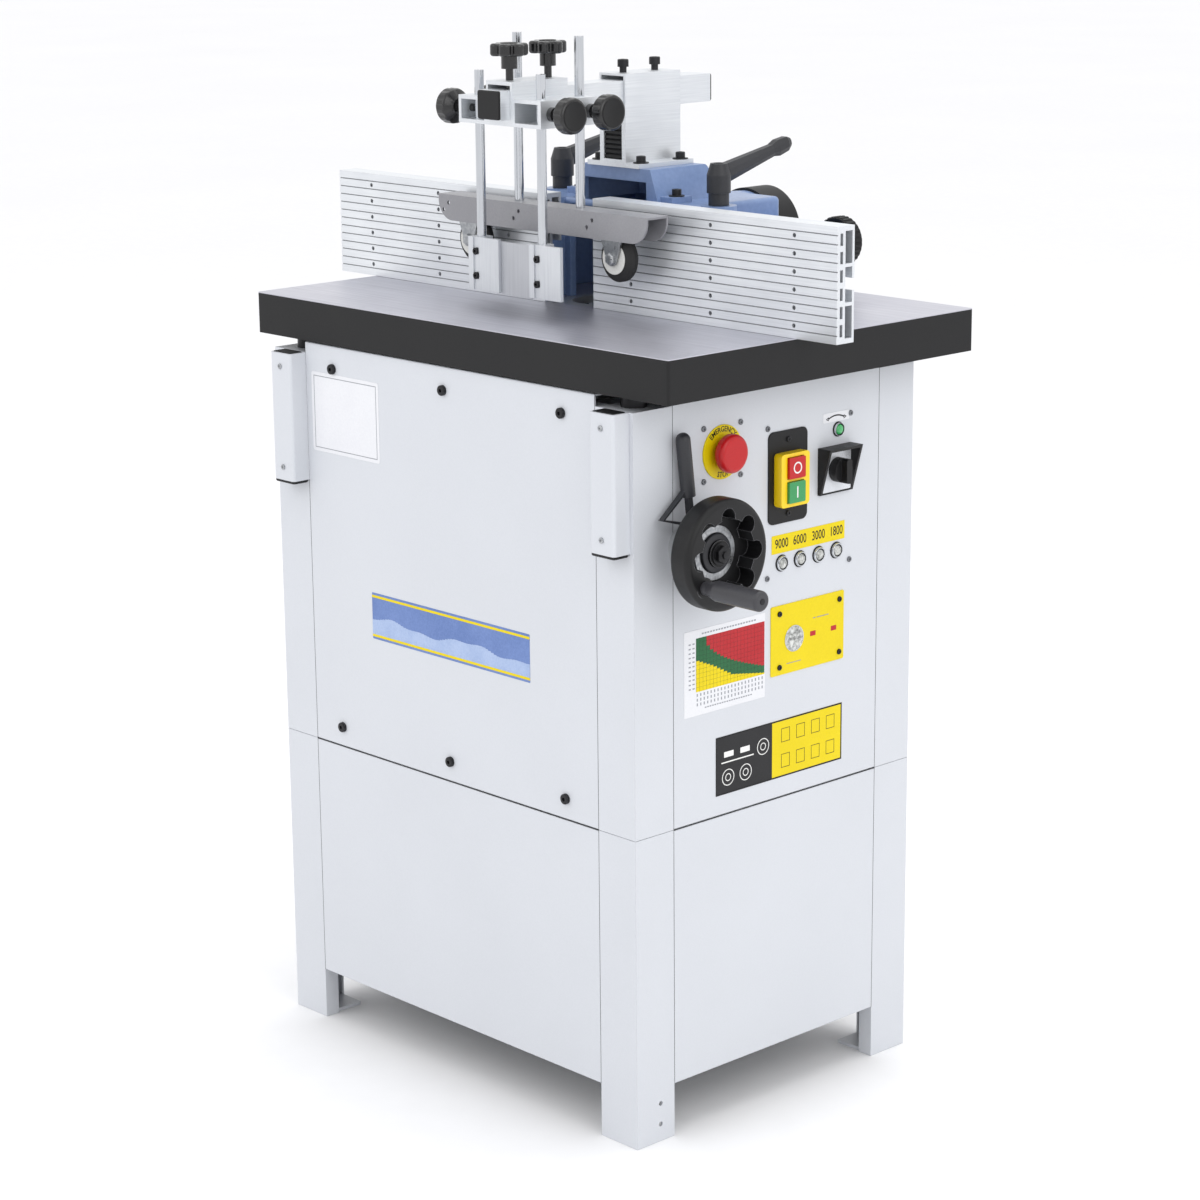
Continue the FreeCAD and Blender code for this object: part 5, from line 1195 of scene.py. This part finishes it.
    def guide(self) -> None:
        """Black and yellow label with plain rings on its dark half and blank cells on the other."""
        left, right, high, low = self.guide_label
        halves = (("dark", left, self.guide_split, BLACK_FILM),
                  ("light", self.guide_split, right, YELLOW_FILM))
        for name, start, end, finish in halves:
            self.label("guide_label_" + name, (start, end, high, low), finish, corner=0.5)
        base = self.spot(0.0, (high + low) / 2, LABEL)
        middle = base + (0.0, (left + right) / 2, 0.0)
        line = frame_line(right - left, low - high, 1.7, middle, RIGHT)
        add("guide_label_line", line, BLACK_INK)
        rings = [ring(outer, outer - 1.0, INK, base + (0.0, across, rise), RIGHT, INK / 4)
                 for across, rise in ((-74.0, -14.0), (-48.0, -14.0), (-22.0, 8.0))
                 for outer in (9.0, 4.2)]
        rules = [(-84.0, 2.0, -36.0, 3.4), (-80.0, 8.0, -66.0, 14.0), (-56.0, 8.0, -42.0, 14.0)]
        add("guide_label_rings", joined(rings + [bars(rules, INK, base, RIGHT)]), WHITE_INK)
        cells = [frame_line(13.0, 15.0, 0.6, base + (0.0, across, rise), RIGHT)
                 for across in (12.0, 35.0, 58.0, 81.0) for rise in (-14.0, 14.0)]
        add("guide_label_cells", joined(cells), BLACK_INK)


@dataclass
class HeightControl:
    """Fittings in the handwheel, in millimetres."""

    # Outer and inner radius and thickness of the silver dial ring in the pocket.
    dial: Triple = (28.0, 20.5, 1.2)
    mark_inset: float = 2.5  # its marks from its outer edge
    mark_step: int = 30  # degrees from mark to mark
    pocket: float = 20.0  # depth of the pocket's floor below the rim
    collar: Pair = (20.0, 14.2)  # outer and inner radius of the hub's collar
    hub_height: float = 8.0  # height of the hub above that floor
    washer: Pair = (11.5, 1.4)  # radius and thickness of the washer on the hub
    nut: float = 8.0  # half the width across the flats of the nut on it
    bolt_end: Pair = (3.2, 0.5)  # radius and height of the bolt's end in the grip

    def build(self) -> None:
        """Makes the dial ring, the hub's collar, washer and nut, and the bolt end in the grip."""
        out = np.array(RIGHT)
        floor = side("handwheel", RIGHT) - self.pocket * out
        add("wheel_dial", ring(*self.dial, floor, RIGHT), ZINC, "handwheel")
        turn = np.radians(np.arange(0, 360, self.mark_step))
        way = np.stack([np.zeros_like(turn), np.sin(turn), np.cos(turn)], axis=-1)
        spots = floor + self.dial[2] * out + (self.dial[0] - self.mark_inset) * way
        marks = [lettering("|", 3.0, spot, RIGHT) for spot in spots]
        add("wheel_dial_marks", joined(marks), BLACK_INK, "handwheel")
        outer, inner = self.collar
        wall = eased([(outer, 0), (outer, 4.0), (inner, 5.5)], 1.2)
        skin = np.concatenate([wall, [(inner, 0.0)]])
        add("wheel_collar", turned(skin, floor, RIGHT, looped=True), LEVER_PAINT, "handwheel")
        seat = floor + self.hub_height * out
        profile = [(self.nut, 0), (self.nut, 5.0), (self.nut * 0.82, 6.0), (4.2, 6.0), (3.9, 8.0),
                   (0.2, 8.4)]
        nut = turned(profile, seat + self.washer[1] * out, RIGHT, sides=[6, 6, 0, 0, 0, 0])
        washer = disc(*self.washer, seat, RIGHT)
        add("wheel_nut", joined([washer, nut]), BLACK_STEEL, "handwheel")
        end = disc(*self.bolt_end, side("wheel_grip", RIGHT), RIGHT)
        add("grip_end", end, BLACK_STEEL, "wheel_grip")


@dataclass
class Fence:
    """Fittings on the hood, its levers and the guard post, in millimetres."""

    ear_spread: float = 74.0  # ear screws from the spindle axis
    ear_y: float = 52.0  # their place from front to back
    ear_height: float = 7.0  # top of the ears above the hood's deck
    post_screw_y: Pair = (45.0, 92.0)  # clamp screws on top of the post
    flange_spread: float = 32.0  # foot screws from the spindle axis
    flange_y: Pair = (40.0, 99.0)  # their places from front to back
    flange: float = 5.0  # thickness of the post's foot
    hub: float = 12.8  # radius of a lever's hub
    hub_top: float = 44.3  # top of the hub above the deck
    deck_drop: float = 35.0  # deck below the post's foot
    recess: float = 9.0  # depth of the lever hub's open top
    shank: float = 3.8  # radius of the clamp screws
    shank_rise: float = 6.0  # how far they stand out of the post

    def build(self) -> None:
        """Makes the screws of the hood, the post and the levers."""
        low, high = corners("guard_post")
        middle = (low[0] + high[0]) / 2
        tops = [np.array([middle, y, high[2]]) for y in self.post_screw_y]
        rod = [(self.shank, 0), (self.shank, self.shank_rise)]
        shanks = [turned(rod, top, UP) for top in tops]
        heads = [CAP_SCREW.patch(top + (0.0, 0.0, self.shank_rise), UP) for top in tops]
        add("post_clamp_screws", joined(shanks + heads), BLACK_STEEL, "fence")
        foot = low[2] + self.flange
        feet = [(middle + end * self.flange_spread, y, foot) for end in BOTH for y in self.flange_y]
        add("post_foot_screws", screws(WASHER_SCREW, feet, UP), BLACK_STEEL, "fence")
        deck = low[2] - self.deck_drop
        height = deck + self.ear_height
        ears = [(middle + end * self.ear_spread, self.ear_y, height) for end in BOTH]
        add("hood_ear_screws", screws(WASHER_SCREW, ears, UP), BLACK_STEEL, "fence")
        for name in ("left_lever", "right_lever"):
            x, y, _ = side(name, FRONT)
            seat = (x, y + self.hub, deck + self.hub_top - self.recess)
            add(name + "_screw", HUB_SCREW.patch(seat, UP), BLACK_STEEL, name, "lever_paint")


@dataclass
class Guard:
    """Fittings on the arm, the shoes, the rollers and the knobs, in millimetres."""

    cap: float = 2.6  # thickness of the arm's end caps
    slack: float = 0.4  # how much smaller a fitted face is than what it covers
    shoe_screw_rise: Pair = (15.0, 41.0)  # shoe screws above the shoes' lower edge
    shoe_groove: float = 1.6  # depth of the shoes' front groove
    # Shield's face from the left rod, from the right rod and behind the shoes.
    shield: Triple = (36.2, 12.2, 4.0)
    shield_height: float = 56.0  # its height
    shield_drop: float = 2.0  # how far the shield hangs below the shoes
    rod: float = 5.0  # radius of the rods
    rod_lift: float = 9.0  # lower end of the rods above the shoes' lower edge
    hub: Pair = (16.6, 4.4)  # outer and inner radius of the rollers' white hubs
    bolt: float = 5.6  # half the width across the flats of the rollers' bolts
    inlay: float = 15.0  # radius of the flat inlay in a side knob's face
    top_inlay: float = 9.0  # the same for a top knob

    def build(self) -> None:
        """Makes the caps, screws, hubs, bolts and inlays."""
        low, high = corners("guard_arm")
        width, _, height = high - low - self.slack
        caps = [plate(width, height, self.cap, side("guard_arm", facing), facing, 2.5, 1.0)
                for facing in (FRONT, BACK)]
        add("arm_caps", joined(caps), MATT_BLACK, "arm")
        self.shoes()
        for name in ("left_roller", "right_roller"):
            self.roller(name)
        for name in KNOBS:
            self.knob(name)

    def shoes(self) -> None:
        """Two screws in each shoe's groove, at the rods, and the rolled face of the shield."""
        front = corners("guard_shoes")[0][1]
        rods_low, rods_high = corners("front_rods")
        bottom = rods_low[2] - self.rod_lift
        rods = (rods_low[0] + self.rod, rods_high[0] - self.rod)
        groove = front + self.shoe_groove
        spots = [(x, groove, bottom + rise) for x in rods for rise in self.shoe_screw_rise]
        add("shoe_screws", screws(SHOE_SCREW, spots, FRONT), BLACK_STEEL, "shoes")
        left, right = rods[0] + self.shield[0], rods[1] - self.shield[1]
        height = bottom + self.shield_height / 2 - self.shield_drop
        seat = ((left + right) / 2, front + self.shield[2], height)
        size = (right - left, self.shield_height - self.slack, LABEL)
        add("shield_face", plate(*size, seat, FRONT, 0.5, FILM_EDGE), SHEET, "shoes")

    def roller(self, name: str) -> None:
        """White hub on both faces of a roller, and its bolt's head and nut on the fork.

        Args:
            name: The roller's node, which is also its body.
        """
        outer, inner = self.hub
        rows = [(inner, 0), (outer, 0), (outer, 0.5), (outer - 1, 0.8), (outer - 3, 0.3),
                (inner, 0.3)]
        profile = [(self.bolt, 0), (self.bolt, 3.0), (self.bolt - 0.7, 3.6), (0.3, 3.7)]
        hubs, ends = [], []
        for facing in (FRONT, BACK):
            place = side(name, facing)
            hubs.append(turned(rows, place, facing, looped=True))
            seat = (place[0], side("roller_forks", facing)[1], place[2])
            ends.append(turned(profile, seat, facing, sides=[6, 6, 0, 0]))
        add(name + "_hubs", joined(hubs), WHITE_HUB, name)
        add(name + "_bolt", joined(ends), ZINC, "presser")

    def knob(self, name: str) -> None:
        """Matt inlay in the face of a knob.

        Args:
            name: The knob's node, which is also its body.
        """
        if name.endswith("top_knob"):
            facing, radius = UP, self.top_inlay
        else:
            facing, radius = LEFT if "left" in name else RIGHT, self.inlay
        rows = [(radius, 0), (radius, 0.5), (radius - 1.2, 0.5), (radius - 1.8, 0.25), (0.3, 0.25)]
        add(name + "_inlay", turned(rows, side(name, facing), facing), MATT_BLACK, name)


@dataclass
class Studio:
    """Pale floor, soft light and the camera, in metres."""

    camera_place: Place = (2.41907, -2.24548, 1.33294)  # where the camera stands
    camera_turn: Place = (75.842415, 0.524390, 46.818213)  # its turn in degrees
    lens: float = 92.227  # focal length in millimetres on a 36 mm sensor
    floor_reach: float = 30.0  # half the floor's side
    floor_drop: float = 0.0002  # floor below the feet
    ambient: float = 1.08  # brightness of the room's light on the object
    # Place, aim, size and power of each soft lamp.
    lamps: tuple[tuple[Place, Place, float, float], ...] = (
        ((-0.6, -3.0, 2.6), (0.0, 0.0, 0.6), 2.2, 14.0),
        ((3.0, -0.4, 2.2), (0.0, 0.0, 0.6), 2.0, 16.0),
        ((0.2, 0.8, 3.4), (0.0, 0.0, 0.8), 2.4, 24.0),
    )

    def build(self) -> None:
        """Makes the floor, the light and the camera."""
        self.floor()
        self.light()
        camera = bpy.data.objects.new("camera", bpy.data.cameras.new("camera"))
        camera.data.sensor_width = 36.0
        camera.data.lens = self.lens
        camera.location = self.camera_place
        camera.rotation_euler = Euler([math.radians(turn) for turn in self.camera_turn])
        bpy.context.scene.collection.objects.link(camera)
        bpy.context.scene.camera = camera
        bpy.context.scene.view_settings.view_transform = "Standard"

    def floor(self) -> None:
        """A level sheet under the feet: (u, v) goes to reach times (u, v)."""
        square = np.array([(-1, -1, 0), (1, -1, 0), (1, 1, 0), (-1, 1, 0)])
        points = square * self.floor_reach - (0.0, 0.0, self.floor_drop)
        mesh = bpy.data.meshes.new("floor")
        mesh.from_pydata(points.tolist(), [], [(0, 1, 2, 3)])
        paper = Finish(
            "studio_paper", "#F6F6F6", "#F4F4F4", 0.9, grit_mm=40, cloud_mm=900, relief_mm=0.01,
        )
        mesh.materials.append(paper.material())
        sheet = bpy.data.objects.new("floor", mesh)
        bpy.context.scene.collection.objects.link(sheet)

    def light(self) -> None:
        """Soft lamps and a world that is white to the camera, to metal and to glass."""
        for number, (place, aim, size, power) in enumerate(self.lamps):
            lamp = bpy.data.lights.new(f"softbox_{number}", "AREA")
            lamp.size = size
            lamp.energy = power
            holder = bpy.data.objects.new(lamp.name, lamp)
            holder.location = place
            look = Vector(aim) - Vector(place)
            holder.rotation_euler = look.to_track_quat("-Z", "Y").to_euler()
            bpy.context.scene.collection.objects.link(holder)
        world = bpy.data.worlds.new("studio")
        world.use_nodes = True
        tree = world.node_tree
        tree.nodes.clear()
        path = add_node(tree, "ShaderNodeLightPath").outputs
        seen = add_node(
            tree, "ShaderNodeMath", {"operation": "ADD"},
            links={0: path["Is Camera Ray"], 1: path["Is Glossy Ray"]},
        ).outputs[0]
        seen = add_node(
            tree, "ShaderNodeMath", {"operation": "ADD", "use_clamp": True},
            links={0: seen, 1: path["Is Transmission Ray"]},
        ).outputs[0]
        shade = (self.ambient, self.ambient, self.ambient * 1.02, 1.0)
        white = (1.0, 1.0, 1.0, 1.0)
        colour = add_node(
            tree, "ShaderNodeMix", RGBA, {6: shade, 7: white}, {0: seen},
        ).outputs[2]
        sky = add_node(tree, "ShaderNodeBackground", links={"Color": colour})
        add_node(tree, "ShaderNodeOutputWorld", links={"Surface": sky.outputs[0]})
        bpy.context.scene.world = world


def dress() -> None:
    """Gives every CAD node its finish."""
    for finish, nodes in NODE_FINISHES:
        for name in nodes:
            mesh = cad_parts[name].data
            mesh.materials.clear()
            mesh.materials.append(finish.material())
            log.info("%s is %s", name, finish.name)


def main() -> None:
    """Dresses the nodes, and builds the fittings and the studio."""
    logging.basicConfig(level=logging.INFO, format="%(name)s: %(message)s")
    dress()
    for assembly in (Cabinet(), ControlPanel(), HeightControl(), Fence(), Guard(), Studio()):
        assembly.build()


if __name__ == "__main__":
    main()
